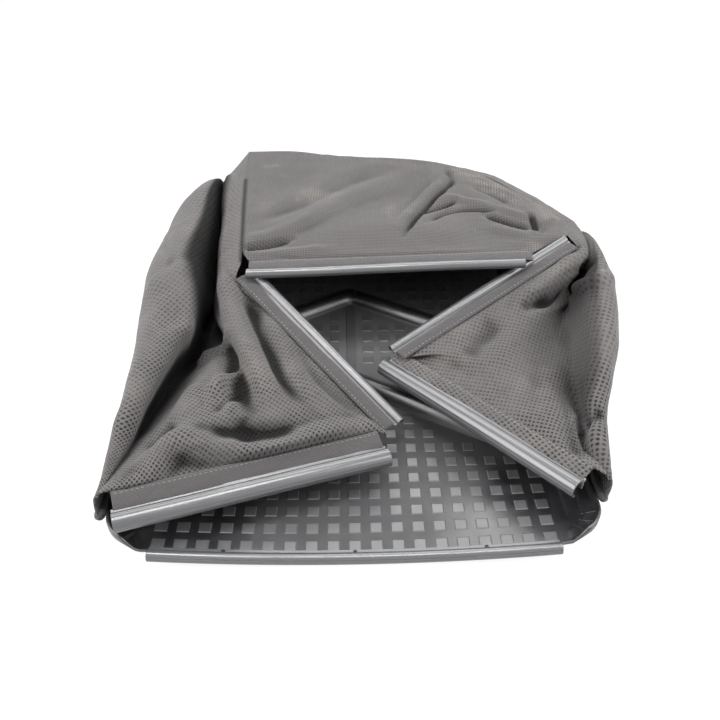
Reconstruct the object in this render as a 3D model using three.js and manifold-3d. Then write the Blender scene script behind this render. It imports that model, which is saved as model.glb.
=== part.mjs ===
// Grass collection bag of a lawn mower, collapsed on its moulded tray. Millimetres, +Z up, +Y to the
// rear. The origin is the middle of the tray's underside, and the mouth faces -Y.
import * as THREE from 'three';
import { mergeVertices } from 'three/addons/utils/BufferGeometryUtils.js';
import Module from 'manifold-3d';

// The gap between pieces that touch
const CLEARANCE = 0.3;

// Tray
const TRAY_WIDTH = 410;
const TRAY_FRONT = -259;
const TRAY_REAR = 250;
const TRAY_WALL = 3;
const FRONT_CORNER_RADIUS = 30;
const REAR_CORNER_RADIUS = 60;
const RIM_HEIGHT = 14;
const RIM_WALL = 3;
const TERRACE_RISE = 3.6;
const TERRACE_WIDTH = 10;
const TERRACE_SLOPE = 1.5;
const CORNER_STEPS = 6;
const FRONT_STEPS = 8;
// Where the floor may bend, as shares of the half width from the rim
const FLOOR_BREAKS = [0.995, 0.83, 0.66, 0.49, 0.37, 0.25];
// Webs on the terraces of the front corners
const WEB_ANGLES = [12, 38, 64];
const WEB_WIDTH = 2;
// How deep a joined piece reaches into what carries it
const ROOT_DEPTH = 1;

// The floor sags between its front corners
const DISH_LIFT = 12;
const DISH_LIFT_X = 190;
const DISH_END = -130;

// Raised squares of the floor, and the plain spine between the ribs
const SQUARE_PITCH = 18;
const SQUARE_SIZE = 10.8;
const SQUARE_RISE = 0.9;
const SQUARE_COLUMNS = 9;
const SQUARE_ROWS = 26;
const FIRST_SQUARE_ROW = -256;
const SPINE_WIDTH = 10;
const SPINE_GAP = 1;

// Chevron ribs across the floor: a steep front, a round crest and a long rear slope. The points of
// the section, and of the hollow below it, are shares of the rib's length and height.
const CHEVRON_APEXES = [80, -66];
const CHEVRON_SLOPE = 0.585;
const CHEVRON_HEIGHT = 12;
const CHEVRON_LENGTH = 34;
const CHEVRON_SECTION = [[0, 0], [0.024, 0.13], [0.12, 0.75], [0.17, 0.93], [0.235, 1], [0.353, 0.96],
  [0.55, 0.58], [0.8, 0.2], [1, 0]];
const CHEVRON_HOLLOW = [[0.088, -0.08], [0.106, 0.08], [0.206, 0.67], [0.294, 0.95], [0.5, 0.58],
  [0.72, 0.05], [0.8, -0.08]];

// Front clip rail and its rivets
const RAIL_LENGTH = 335;
const RAIL_RADIUS = 4.9;
const RAIL_WALL = 1.4;
const RAIL_MOUTH = 5;
const RAIL_FLANGE = 3.8;
const RAIL_FLANGE_THICKNESS = 1.6;
const RAIL_FLANGE_LEVEL = -1.2;
const RIVET_SPACING = 108;
const RIVET_HEAD_RADIUS = 1.6;
const RIVET_HEAD_HEIGHT = 0.8;
const RIVET_SHANK_RADIUS = 0.8;

// Clips: channels of C section that snap on the wire frame
const THICK_CLIP = { radius: 8.2, wall: 1.9, mouth: 9, grooves: true };
const THIN_CLIP = { radius: 4.8, wall: 1.3, mouth: 5, grooves: false };
const CLIP_FLANGE = 3.2;
const CLIP_FLANGE_THICKNESS = 1.5;
const CLIP_GROOVE = 0.45;
const CLIP_GROOVE_ANGLES = [68, 115];
const CLIP_GROOVE_SPREAD = 3.6;

// Where each clip lies in the collapsed bag: its two ends, the way the cloth leaves it, and its hem
const CLIPS = {
  left_lower: { ends: [[-191, -254, 44], [31, -180, 33]], cloth: [-0.3, 0.95, 0.25], form: THICK_CLIP, hem: 15 },
  left_upper: { ends: [[-96, 12, 94], [44, -133, 28]], cloth: [-0.72, -0.69, 0.05], form: THIN_CLIP, hem: 12 },
  right_lower: { ends: [[181, -233, 51], [31, -64, 36]], cloth: [0.73, 0.68, 0.25], form: THICK_CLIP, hem: 12 },
  right_upper: { ends: [[39, -50, 46], [227, 57, 104]], cloth: [0.5, -0.85, 0.1], form: THIN_CLIP, hem: 12 },
  top: { ends: [[-98, 3, 102], [180, 17, 102]], cloth: [0, 1, 0], form: THIN_CLIP, hem: 13 },
};

// Cloth
const CLOTH = 2.4;
const GRID_STEPS = 2;
const HEM_CLOTH = 2.2;
const HEM_END = 2;
const RIM_ROLL_RADIUS = 4.6;
const RIM_ROLL_DROP = 2;
const RIM_ROLL_ENDS = [-238, -227];
const RIM_ROLL_STOPS = [-200, -165, DISH_END, -60, 0, 60, 120];

// Seams and crests that two panels share
const REAR_LEFT_SEAM = [[-169, 238, 49], [-160, 234, 79], [-148, 232, 98], [-135, 236, 106], [-123, 241, 111]];
const REAR_CREST = [[-66, 246, 112], [-10, 244, 112], [50, 234, 112], [106, 217, 111], [158, 194, 109]];
const SHOULDER = [[204, 138, 106], [239, 89, 105]];
const REAR_RIGHT_SEAM = [[232, 126, 49], [246, 109, 79], [248, 100, 96], [245, 94, 103]];
const GUSSET_SEAM = [[-99, 25, 104], [-113, 62, 107], [-117, 122, 109], [-120, 180, 110]];
const RIGHT_GUSSET = [236, 66, 109];

// Side panels, from front to rear. Each station runs from the tray's rim over the outer bulge and
// the crease to the inner panel, and ends on a clip's hem or at a seam.
const LEFT_STATIONS = [
  { rim: [-209, -236], over: [[-212, -232, 38], [-211, -230, 45], [-208, -229, 49], [-204, -229, 51]],
    hem: ['left_lower', 0.01] },
  { rim: [-209, -190], over: [[-211, -193, 45], [-203, -189, 56], [-193, -181, 46], [-175, -193, 53]],
    hem: ['left_lower', 0.24] },
  { rim: [-209, -155], over: [[-209, -162, 53], [-197, -161, 69], [-183, -147, 49], [-148, -176, 61]],
    hem: ['left_lower', 0.5] },
  { rim: [-209, -120], over: [[-207, -124, 60], [-193, -124, 78], [-172, -110, 54], [-115, -151, 67]],
    hem: ['left_lower', 0.78] },
  { rim: [-209, -85], over: [[-206, -88, 65], [-192, -90, 84], [-160, -68, 60], [-86, -122, 70]],
    hem: ['left_lower', 0.99] },
  { rim: [-209, -70], over: [[-206, -72, 68], [-191, -74, 87], [-152, -52, 63], [-76, -112, 71]],
    seam: [31, -153, 34] },
  { rim: [-209, -50], over: [[-207, -52, 71], [-190, -54, 90], [-146, -34, 64], [-82, -94, 72]],
    hem: ['left_upper', 0.94] },
  { rim: [-209, -10], over: [[-209, -12, 77], [-191, -14, 97], [-142, 8, 70], [-106, -50, 79]],
    hem: ['left_upper', 0.6] },
  { rim: [-209, 30], over: [[-211, 28, 81], [-190, 24, 101], [-145, 54, 74], [-120, -2, 89]],
    hem: ['left_upper', 0.25] },
  { rim: [-209, 60], over: [[-210, 56, 83], [-186, 52, 104], [-147, 90, 79], [-129, 36, 95]],
    hem: ['left_upper', 0.01] },
  { rim: [-209, 84], over: [[-208, 79, 84], [-181, 76, 105], [-147, 110, 82], [-130, 60, 100]],
    seam: GUSSET_SEAM[0] },
  { rim: [-209, 116], over: [[-204, 112, 84], [-176, 104, 106], [-148, 136, 86], [-130, 90, 104]],
    seam: GUSSET_SEAM[1] },
  { rim: [-209, 172], over: [[-198, 166, 84], [-172, 160, 107], [-150, 176, 90], [-132, 142, 107]],
    seam: GUSSET_SEAM[2] },
  { rim: [-200, 212], over: [[-184, 208, 80], [-162, 198, 105], [-147, 208, 95], [-133, 194, 108]],
    seam: GUSSET_SEAM[3] },
  { rim: [-176, 238], over: REAR_LEFT_SEAM.slice(0, 4), seam: REAR_LEFT_SEAM[4] },
];
const RIGHT_STATIONS = [
  { rim: [209, -225], over: [[214, -222, 39], [213, -220, 46], [209, -220, 51], [205, -220, 54]],
    hem: ['right_lower', 0.01] },
  { rim: [209, -190], over: [[219, -194, 45], [211, -198, 57], [199, -189, 50], [187, -193, 55]],
    hem: ['right_lower', 0.16] },
  { rim: [209, -150], over: [[226, -152, 49], [220, -157, 66], [204, -147, 55], [174, -157, 56]],
    hem: ['right_lower', 0.4] },
  { rim: [209, -110], over: [[238, -118, 60], [229, -126, 79], [204, -118, 60], [156, -120, 56]],
    hem: ['right_lower', 0.7] },
  { rim: [209, -74], over: [[252, -78, 68], [239, -90, 91], [207, -84, 68], [124, -84, 58]],
    hem: ['right_lower', 0.99] },
  { rim: [209, -54], over: [[257, -58, 71], [244, -70, 95], [209, -64, 70], [118, -70, 59]],
    seam: [50, -61, 44] },
  { rim: [209, -30], over: [[260, -38, 74], [248, -50, 99], [212, -42, 74], [132, -54, 62]],
    hem: ['right_upper', 0.08] },
  { rim: [209, 5], over: [[264, -8, 78], [253, -20, 103], [218, -14, 81], [170, -30, 74]],
    hem: ['right_upper', 0.4] },
  { rim: [209, 50], over: [[264, 34, 81], [257, 20, 105], [238, 18, 90], [208, 4, 90]],
    hem: ['right_upper', 0.75] },
  { rim: [209, 90], over: [[259, 74, 83], [256, 54, 107], [249, 44, 98], [243, 34, 104]],
    hem: ['right_upper', 0.99] },
  { rim: [209, 112], over: [[251, 98, 64], [256, 84, 86], [252, 72, 105], [244, 66, 109]],
    seam: RIGHT_GUSSET },
  { rim: [209, 134], over: REAR_RIGHT_SEAM, seam: SHOULDER[1] },
];
// The top panel from its hem to the rear crest, and the rear panel from there to the rim
const TOP_HEM_SHARES = [0.01, 0.25, 0.5, 0.75, 0.97];
const TOP_STATIONS = [
  { hem: 'top', seam: [192, 50, 105] },
  { over: [GUSSET_SEAM[1], [-64, 72, 103], [-10, 78, 107], [70, 76, 108], [145, 72, 103], RIGHT_GUSSET] },
  { over: [GUSSET_SEAM[2], [-66, 132, 107], [-10, 138, 107], [66, 134, 104], [140, 122, 108], SHOULDER[1]] },
  { over: [GUSSET_SEAM[3], [-68, 186, 108], [-8, 194, 109], [62, 184, 105], [130, 168, 110], SHOULDER[0]] },
  { over: [REAR_LEFT_SEAM[4], ...REAR_CREST] },
];
const REAR_STATIONS = [
  { over: [REAR_LEFT_SEAM[4], ...REAR_CREST, ...SHOULDER] },
  { over: [REAR_LEFT_SEAM[3], [-68, 250, 106], [-10, 248, 106], [52, 240, 106], [108, 225, 106],
    [167, 204, 104], [214, 148, 102], REAR_RIGHT_SEAM[3]] },
  { over: [REAR_LEFT_SEAM[2], [-70, 253, 98], [-10, 252, 98], [54, 245, 98], [111, 231, 98],
    [171, 209, 97], [220, 154, 96], REAR_RIGHT_SEAM[2]] },
  { over: [REAR_LEFT_SEAM[1], [-72, 256, 79], [-10, 256, 79], [56, 250, 79], [114, 239, 79],
    [175, 217, 79], [226, 166, 79], REAR_RIGHT_SEAM[1]] },
  { over: [REAR_LEFT_SEAM[0], [-78, 258, 49], [-10, 258, 49], [57, 256, 49], [117, 251, 49],
    [177, 234, 49], [219, 184, 49], REAR_RIGHT_SEAM[0]] },
  { rim: [[-176, 238], [-80, 254], [-10, 254], [58, 254], [118, 254], [172, 242], [209, 190], [209, 134]] },
];

// Looks
const BLACK_MOULDING = { color: 0x26272a, roughness: 0.32, metalness: 0 };
const CLIP_PLASTIC = { color: 0x5b5e65, roughness: 0.38, metalness: 0 };
const SIDE_MESH = { color: 0x4a4646, roughness: 0.95, metalness: 0 };
const TOP_WEAVE = { color: 0x504c4b, roughness: 0.92, metalness: 0 };
const HEM_TAPE = { color: 0x3d3a3a, roughness: 0.9, metalness: 0 };
const DARK_STEEL = { color: 0x17181a, roughness: 0.45, metalness: 0.3 };

const wasm = await Module();
wasm.setup();
const { Manifold, Mesh: ManifoldMesh } = wasm;

const group = new THREE.Group();
const vector = ([x, y, z]) => new THREE.Vector3(x, y, z);

function toSolid(geometry) {
  const bare = geometry.clone();
  bare.deleteAttribute('normal');
  bare.deleteAttribute('uv');
  const merged = mergeVertices(bare, 1e-4);
  return new Manifold(new ManifoldMesh({
    numProp: 3,
    vertProperties: new Float32Array(merged.attributes.position.array),
    triVerts: new Uint32Array(merged.index.array),
  }));
}

function toGeometry(solid) {
  const { vertProperties, triVerts } = solid.getMesh();
  const geometry = new THREE.BufferGeometry();
  geometry.setAttribute('position', new THREE.BufferAttribute(new Float32Array(vertProperties), 3));
  geometry.setIndex(new THREE.BufferAttribute(new Uint32Array(triVerts), 1));
  geometry.computeVertexNormals();
  return geometry;
}

// The largest body that a cut leaves
function largest(solid) {
  return solid.decompose().reduce((best, body) => (body.volume() > best.volume() ? body : best));
}

function addPiece(name, solid, look) {
  const mesh = new THREE.Mesh(toGeometry(solid), new THREE.MeshStandardMaterial(look));
  mesh.name = name;
  group.add(mesh);
}

// A closed solid through loops of points, from the first loop to the last, with both ends capped.
// Each end's cap is triangulated in the plane of the two given axes.
function loftSolid(loops, capAxes) {
  const count = loops[0].length;
  const positions = loops.flat().flatMap((point) => [point.x, point.y, point.z]);
  const index = [];
  for (let ring = 0; ring < loops.length - 1; ring += 1) {
    for (let side = 0; side < count; side += 1) {
      const next = (side + 1) % count;
      const [a, b] = [ring * count + side, ring * count + next];
      const [c, d] = [b + count, a + count];
      index.push(a, b, c, a, c, d);
    }
  }
  const last = (loops.length - 1) * count;
  const flat = (loop) => loop.map((point) => new THREE.Vector2(point[capAxes[0]], point[capAxes[1]]));
  const endTriangles = (loop) => {
    const contour = flat(loop);
    const clockwise = THREE.ShapeUtils.isClockWise(contour);
    const faces = THREE.ShapeUtils.triangulateShape(contour, []);
    const order = [contour[faces[0][0]], contour[faces[0][1]], contour[faces[0][2]]];
    return THREE.ShapeUtils.isClockWise(order) === clockwise ? faces : faces.map((face) => face.toReversed());
  };
  endTriangles(loops[0]).forEach(([a, b, c]) => index.push(a, c, b));
  endTriangles(loops.at(-1)).forEach(([a, b, c]) => index.push(last + a, last + b, last + c));
  const geometry = new THREE.BufferGeometry();
  geometry.setAttribute('position', new THREE.Float32BufferAttribute(positions, 3));
  geometry.setIndex(index);
  const solid = toSolid(geometry);
  if (solid.volume() > 0) return solid;
  geometry.setIndex(index.toReversed());
  return toSolid(geometry);
}

// Tray

// How far the front of the floor is lifted at a place
function dishLift(x, y) {
  const fade = THREE.MathUtils.clamp((DISH_END - y) / (DISH_END - TRAY_FRONT), 0, 1);
  return DISH_LIFT * (x / DISH_LIFT_X) ** 2 * fade;
}

// The tray's outline moved inwards by an inset, anticlockwise from the right rear corner
function trayOutline(inset) {
  const right = TRAY_WIDTH / 2 - inset;
  const front = TRAY_FRONT + inset;
  const rear = TRAY_REAR - inset;
  const leastRadius = Math.min(1, right / 2);
  const frontRadius = Math.max(FRONT_CORNER_RADIUS - inset, leastRadius);
  const rearRadius = Math.max(REAR_CORNER_RADIUS - inset, leastRadius);
  const frontTop = front + frontRadius;
  const rearTop = rear - rearRadius;
  const stopSpan = Math.min(DISH_END - TRAY_FRONT - FRONT_CORNER_RADIUS, rearTop - frontTop);
  const sideStops = [0.9, 0.6, 0.3].map((share) => frontTop + share * stopSpan);
  const points = [];
  const corner = (x, y, radius, start) => {
    for (let step = 0; step <= CORNER_STEPS; step += 1) {
      const angle = THREE.MathUtils.degToRad(start + (90 * step) / CORNER_STEPS);
      points.push(new THREE.Vector2(x + radius * Math.cos(angle), y + radius * Math.sin(angle)));
    }
  };
  corner(right - rearRadius, rearTop, rearRadius, 0);
  corner(-right + rearRadius, rearTop, rearRadius, 90);
  sideStops.forEach((y) => points.push(new THREE.Vector2(-right, y)));
  corner(-right + frontRadius, frontTop, frontRadius, 180);
  for (let step = 1; step < FRONT_STEPS; step += 1) {
    const x = THREE.MathUtils.lerp(frontRadius - right, right - frontRadius, step / FRONT_STEPS);
    points.push(new THREE.Vector2(x, front));
  }
  corner(right - frontRadius, frontTop, frontRadius, 270);
  sideStops.toReversed().forEach((y) => points.push(new THREE.Vector2(right, y)));
  return points;
}

// The rim is full height at the sides and corners, and dies out along the straight front edge
function rimShare(x, y) {
  const cornerStart = TRAY_WIDTH / 2 - FRONT_CORNER_RADIUS;
  if (y > TRAY_FRONT + FRONT_CORNER_RADIUS * 2) return 1;
  return THREE.MathUtils.smoothstep(Math.abs(x), cornerStart, cornerStart + FRONT_CORNER_RADIUS / 2);
}

// The tray's section from the middle of the floor over two terraces to the rim, and back below it.
// Each row holds the inset from the outline, the height, and the height where the rim dies out.
function traySection() {
  const low = TRAY_WALL + TERRACE_RISE;
  const high = low + TERRACE_RISE;
  const top = TRAY_WALL + RIM_HEIGHT;
  const inner = RIM_WALL + TERRACE_WIDTH;
  const outer = inner + TERRACE_SLOPE + TERRACE_WIDTH;
  const floor = outer + TERRACE_SLOPE;
  const floorInsets = FLOOR_BREAKS.map((share) => (share * TRAY_WIDTH) / 2);
  return [
    ...floorInsets.map((inset) => [inset, TRAY_WALL, TRAY_WALL]),
    [floor, TRAY_WALL, TRAY_WALL], [outer, low, TRAY_WALL],
    [inner + TERRACE_SLOPE, low, TRAY_WALL], [inner, high, TRAY_WALL],
    [RIM_WALL + TERRACE_SLOPE, high, TRAY_WALL], [RIM_WALL, top, TRAY_WALL],
    [0, top, TRAY_WALL], [0, high - TRAY_WALL + TERRACE_SLOPE, 0],
    [TERRACE_SLOPE, high - TRAY_WALL, 0], [inner - TERRACE_SLOPE, high - TRAY_WALL, 0],
    [inner, low - TRAY_WALL, 0], [outer - TERRACE_SLOPE, low - TRAY_WALL, 0], [outer, 0, 0],
    ...floorInsets.toReversed().map((inset) => [inset, 0, 0]),
  ];
}

function trayShell() {
  const rings = traySection().map(([inset, height, level]) => trayOutline(inset).map(({ x, y }) => (
    new THREE.Vector3(x, y, THREE.MathUtils.lerp(level, height, rimShare(x, y)) + dishLift(x, y)))));
  return loftSolid(rings, ['x', 'y']);
}

// A rib's section, moved along both arms of its chevron
function chevronSolid(apex, section, halfSpan) {
  const loops = [-halfSpan, 0, halfSpan].map((x) => section.map(([along, height]) => (
    new THREE.Vector3(x, apex + along - CHEVRON_SLOPE * Math.abs(x), height))));
  return loftSolid(loops, ['y', 'z']);
}

function chevronPoints(shares, level) {
  return shares.map(([along, height]) => [along * CHEVRON_LENGTH, level + height * CHEVRON_HEIGHT]);
}

function chevronRib(apex) {
  const root = TRAY_WALL - ROOT_DEPTH;
  const section = [...chevronPoints(CHEVRON_SECTION, TRAY_WALL), [CHEVRON_LENGTH, root], [0, root]];
  return chevronSolid(apex, section, TRAY_WIDTH / 2 - RIM_WALL - TERRACE_WIDTH * 2);
}

function chevronGroove(apex) {
  return chevronSolid(apex, chevronPoints(CHEVRON_HOLLOW, 0), TRAY_WIDTH / 2 - RIM_WALL - TERRACE_WIDTH * 3);
}

function onChevron(x, front, rear) {
  return CHEVRON_APEXES.some((apex) => {
    const foot = apex - CHEVRON_SLOPE * Math.abs(x);
    const spread = (CHEVRON_SLOPE * SQUARE_SIZE) / 2;
    return rear > foot - spread && front < foot + CHEVRON_LENGTH + spread;
  });
}

// One raised patch of the floor, whose top follows the dish
function floorPatch(x, width, front, rear) {
  const sides = [[x - width / 2, front], [x + width / 2, front], [x + width / 2, rear], [x - width / 2, rear]];
  const level = (height) => sides.map(([cx, cy]) => (
    new THREE.Vector3(cx, cy, TRAY_WALL + height + dishLift(cx, cy))));
  return loftSolid([level(-ROOT_DEPTH), level(SQUARE_RISE)], ['x', 'y']);
}

function raisedSquares() {
  const patches = [];
  const behindRail = TRAY_FRONT + RAIL_FLANGE + CLEARANCE * 2;
  for (let row = 0; row < SQUARE_ROWS; row += 1) {
    const foot = FIRST_SQUARE_ROW + row * SQUARE_PITCH;
    const front = Math.max(foot, behindRail);
    const rear = foot + SQUARE_SIZE;
    for (let column = -SQUARE_COLUMNS; column <= SQUARE_COLUMNS; column += 1) {
      const x = column * SQUARE_PITCH;
      const onSpine = column === 0 && rear > CHEVRON_APEXES[1];
      if (!onSpine && !onChevron(x, front, rear)) patches.push(floorPatch(x, SQUARE_SIZE, front, rear));
    }
  }
  const spineStart = CHEVRON_APEXES[1] + CHEVRON_LENGTH + SPINE_GAP;
  patches.push(floorPatch(0, SPINE_WIDTH, spineStart, CHEVRON_APEXES[0] - SPINE_GAP));
  return Manifold.compose(patches);
}

// Short upright webs that stiffen the terraces of the front corners
function cornerWebs() {
  const webs = [];
  const [centreX, centreY] = [TRAY_WIDTH / 2 - FRONT_CORNER_RADIUS, TRAY_FRONT + FRONT_CORNER_RADIUS];
  const inner = FRONT_CORNER_RADIUS - RIM_WALL - TERRACE_WIDTH - ROOT_DEPTH * 2;
  const outer = FRONT_CORNER_RADIUS - ROOT_DEPTH;
  const root = TERRACE_RISE * 2 - ROOT_DEPTH;
  const sides = [[inner, root], [outer, root], [outer, RIM_HEIGHT - ROOT_DEPTH], [inner, TERRACE_RISE * 2 + 1]];
  [-1, 1].forEach((side) => WEB_ANGLES.forEach((degrees) => {
    const angle = THREE.MathUtils.degToRad(-degrees);
    const [cos, sin] = [Math.cos(angle), Math.sin(angle)];
    const loops = [-WEB_WIDTH / 2, WEB_WIDTH / 2].map((half) => sides.map(([reach, height]) => {
      const x = side * (centreX + reach * cos - half * sin);
      const y = centreY + reach * sin + half * cos;
      return new THREE.Vector3(x, y, height + dishLift(x, y));
    }));
    webs.push(loftSolid(loops, degrees < 45 ? ['x', 'z'] : ['y', 'z']));
  }));
  return Manifold.compose(webs);
}

// The space inside the tray's outline up to its rim, a little larger than the piece
function trayRoom() {
  const level = (height) => trayOutline(-CLEARANCE).map(({ x, y }) => (
    new THREE.Vector3(x, y, height + dishLift(x, y))));
  return loftSolid([level(-CLEARANCE), level(TRAY_WALL + RIM_HEIGHT + CLEARANCE)], ['x', 'y']);
}

function makeTray() {
  let tray = trayShell();
  CHEVRON_APEXES.forEach((apex) => {
    tray = tray.add(chevronRib(apex)).subtract(chevronGroove(apex));
  });
  return largest(tray.add(cornerWebs()).add(raisedSquares()));
}

// Clips

// A C section: a round back, a mouth that faces down, and a flange on the cloth's side
function channelShape({ radius, wall, mouth, grooves }, flange) {
  const open = Math.asin(mouth / 2 / (radius - wall / 2));
  const mouthStart = -Math.PI / 2 + open;
  const mouthEnd = (3 * Math.PI) / 2 - open;
  const at = (size, angle) => new THREE.Vector2(size * Math.cos(angle), size * Math.sin(angle));
  const points = [];
  const arc = (size, from, to, steps) => {
    for (let step = 0; step <= steps; step += 1) points.push(at(size, THREE.MathUtils.lerp(from, to, step / steps)));
  };
  const [under, over] = [-1, 1].map((side) => flange.level + (side * flange.thickness) / 2);
  arc(radius, mouthStart, Math.asin(under / radius), 2);
  points.push(new THREE.Vector2(radius + flange.width, under), new THREE.Vector2(radius + flange.width, over));
  const backStart = Math.asin(over / radius);
  if (grooves) {
    const [first, second] = CLIP_GROOVE_ANGLES.map(THREE.MathUtils.degToRad);
    const spread = THREE.MathUtils.degToRad(CLIP_GROOVE_SPREAD);
    arc(radius, backStart, first - spread, 3);
    points.push(at(radius - CLIP_GROOVE, first));
    arc(radius, first + spread, second - spread, 3);
    points.push(at(radius - CLIP_GROOVE, second));
    arc(radius, second + spread, mouthEnd, 5);
  } else {
    arc(radius, backStart, mouthEnd, 10);
  }
  arc(radius - wall, mouthEnd, mouthStart, 11);
  return new THREE.Shape(points);
}

// A clip's own frame: X towards the cloth, Y out of the round back, Z along it from its start
function clipFrame({ ends, cloth }) {
  let [start, end] = ends.map(vector);
  let along = end.clone().sub(start).normalize();
  const across = vector(cloth).projectOnPlane(along).normalize();
  let up = along.clone().cross(across);
  if (up.z < 0) {
    [start, end] = [end, start];
    along = along.negate();
    up = up.negate();
  }
  const length = start.distanceTo(end);
  const matrix = new THREE.Matrix4().makeBasis(across, up, along).setPosition(start);
  return { matrix, across, length };
}

const CLIP_FLANGE_FORM = { width: CLIP_FLANGE, thickness: CLIP_FLANGE_THICKNESS, level: 0 };

function makeClip(clip) {
  const { matrix, length } = clipFrame(clip);
  const shape = channelShape(clip.form, CLIP_FLANGE_FORM);
  const geometry = new THREE.ExtrudeGeometry(shape, { depth: length, bevelEnabled: false, curveSegments: 1 });
  return toSolid(geometry.applyMatrix4(matrix));
}

// How far from a clip's axis its hem starts and ends
function hemReach({ form, hem }) {
  const start = form.radius + CLIP_FLANGE + CLEARANCE;
  return [start, start + hem];
}

function makeHem(clip, margin = 0) {
  const { matrix, length } = clipFrame(clip);
  const [start, end] = hemReach(clip);
  const box = new THREE.BoxGeometry(end - start + margin * 2, HEM_CLOTH + margin * 2, length - (HEM_END - margin) * 2);
  box.translate((start + end) / 2, 0, length / 2);
  return toSolid(box.applyMatrix4(matrix));
}

// The space of a clip with its flange, a little larger than the piece
function clipRoom(clip) {
  const { matrix, length } = clipFrame(clip);
  const { radius } = clip.form;
  const tube = new THREE.CylinderGeometry(radius + CLEARANCE, radius + CLEARANCE, length + CLEARANCE * 2, 24);
  tube.rotateX(Math.PI / 2).translate(0, 0, length / 2);
  const flangeEnd = radius + CLIP_FLANGE + CLEARANCE;
  const flange = new THREE.BoxGeometry(flangeEnd, CLIP_FLANGE_THICKNESS + CLEARANCE * 2, length + CLEARANCE * 2);
  flange.translate(flangeEnd / 2, 0, length / 2);
  return toSolid(tube.applyMatrix4(matrix)).add(toSolid(flange.applyMatrix4(matrix)));
}

// The point of a hem's free edge at a share of its clip's length
function hemEdge(name, share) {
  const clip = CLIPS[name];
  const { across } = clipFrame(clip);
  const point = vector(clip.ends[0]).lerp(vector(clip.ends[1]), share);
  return point.addScaledVector(across, hemReach(clip)[1] + CLEARANCE);
}

// Front rail

const RAIL_FLANGE_FORM = { width: RAIL_FLANGE, thickness: RAIL_FLANGE_THICKNESS, level: RAIL_FLANGE_LEVEL };
const RIVET_Y = TRAY_FRONT - CLEARANCE + RAIL_FLANGE / 2;
const RIVET_PLACES = [-RIVET_SPACING, 0, RIVET_SPACING];
const RAIL_CENTRE_Z = TRAY_WALL + CLEARANCE + RAIL_FLANGE_THICKNESS / 2 - RAIL_FLANGE_LEVEL;

// A hole for a rivet's shank through the flange and the tray's front edge
function rivetHole(x) {
  const radius = RIVET_SHANK_RADIUS + CLEARANCE;
  const depth = (TRAY_WALL + RAIL_FLANGE_THICKNESS) * 2;
  const hole = new THREE.CylinderGeometry(radius, radius, depth, 10);
  hole.rotateX(Math.PI / 2).translate(x, RIVET_Y, TRAY_WALL + dishLift(x, TRAY_FRONT));
  return toSolid(hole);
}

function makeRail() {
  const form = { radius: RAIL_RADIUS, wall: RAIL_WALL, mouth: RAIL_MOUTH, grooves: false };
  const shape = channelShape(form, RAIL_FLANGE_FORM);
  const geometry = new THREE.ExtrudeGeometry(shape, {
    depth: RAIL_LENGTH, steps: 14, bevelEnabled: false, curveSegments: 1,
  });
  geometry.applyMatrix4(new THREE.Matrix4().makeBasis(
    new THREE.Vector3(0, 1, 0), new THREE.Vector3(0, 0, 1), new THREE.Vector3(1, 0, 0),
  ));
  geometry.translate(-RAIL_LENGTH / 2, TRAY_FRONT - CLEARANCE - RAIL_RADIUS, RAIL_CENTRE_Z);
  const { position } = geometry.attributes;
  for (let i = 0; i < position.count; i += 1) {
    position.setZ(i, position.getZ(i) + dishLift(position.getX(i), TRAY_FRONT));
  }
  return RIVET_PLACES.reduce((rail, x) => rail.subtract(rivetHole(x)), toSolid(geometry));
}

function makeRivet(x) {
  const seat = TRAY_WALL + CLEARANCE * 2 + RAIL_FLANGE_THICKNESS;
  const profile = [[0, CLEARANCE], [RIVET_SHANK_RADIUS, CLEARANCE], [RIVET_SHANK_RADIUS, seat],
    [RIVET_HEAD_RADIUS, seat], [RIVET_HEAD_RADIUS * 0.8, seat + RIVET_HEAD_HEIGHT * 0.7], [0, seat + RIVET_HEAD_HEIGHT]];
  const rivet = new THREE.LatheGeometry(profile.map(([radius, height]) => new THREE.Vector2(radius, height)), 10);
  return toSolid(rivet.rotateX(Math.PI / 2).translate(x, RIVET_Y, dishLift(x, TRAY_FRONT)));
}

// Cloth

// The middle line of the rolled hem that grips the outside of the tray's rim
function rimRollPath() {
  const out = -(RIM_ROLL_RADIUS + CLEARANCE);
  const outline = trayOutline(out);
  const rightRear = outline.slice(0, CORNER_STEPS + 1);
  const leftRear = outline.slice(CORNER_STEPS + 1, (CORNER_STEPS + 1) * 2);
  const side = leftRear.at(-1).x;
  const left = [RIM_ROLL_ENDS[0], ...RIM_ROLL_STOPS].map((y) => new THREE.Vector2(side, y));
  const right = [...RIM_ROLL_STOPS.toReversed(), RIM_ROLL_ENDS[1]].map((y) => new THREE.Vector2(-side, y));
  const top = TRAY_WALL + RIM_HEIGHT - RIM_ROLL_DROP;
  return [...left, ...leftRear.toReversed(), ...rightRear.toReversed(), ...right]
    .map(({ x, y }) => new THREE.Vector3(x, y, top + dishLift(x, y)));
}

function makeRimRoll(margin = 0) {
  const path = rimRollPath();
  const loops = path.map((centre, i) => {
    const before = path[Math.max(i - 1, 0)];
    const after = path[Math.min(i + 1, path.length - 1)];
    const out = new THREE.Vector3(after.y - before.y, before.x - after.x, 0).normalize();
    const end = new THREE.Vector3().subVectors(after, before).setZ(0).normalize();
    const shift = (i === 0 ? -margin : 0) + (i === path.length - 1 ? margin : 0);
    return Array.from({ length: 8 }, (_, side) => {
      const angle = ((side + 0.5) * Math.PI) / 4;
      const size = (RIM_ROLL_RADIUS + margin) / Math.cos(margin > 0 ? Math.PI / 8 : 0);
      return centre.clone().addScaledVector(out, size * Math.cos(angle)).addScaledVector(end, shift)
        .add(new THREE.Vector3(0, 0, size * Math.sin(angle)));
    });
  });
  return loftSolid(loops, ['x', 'z']);
}

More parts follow.
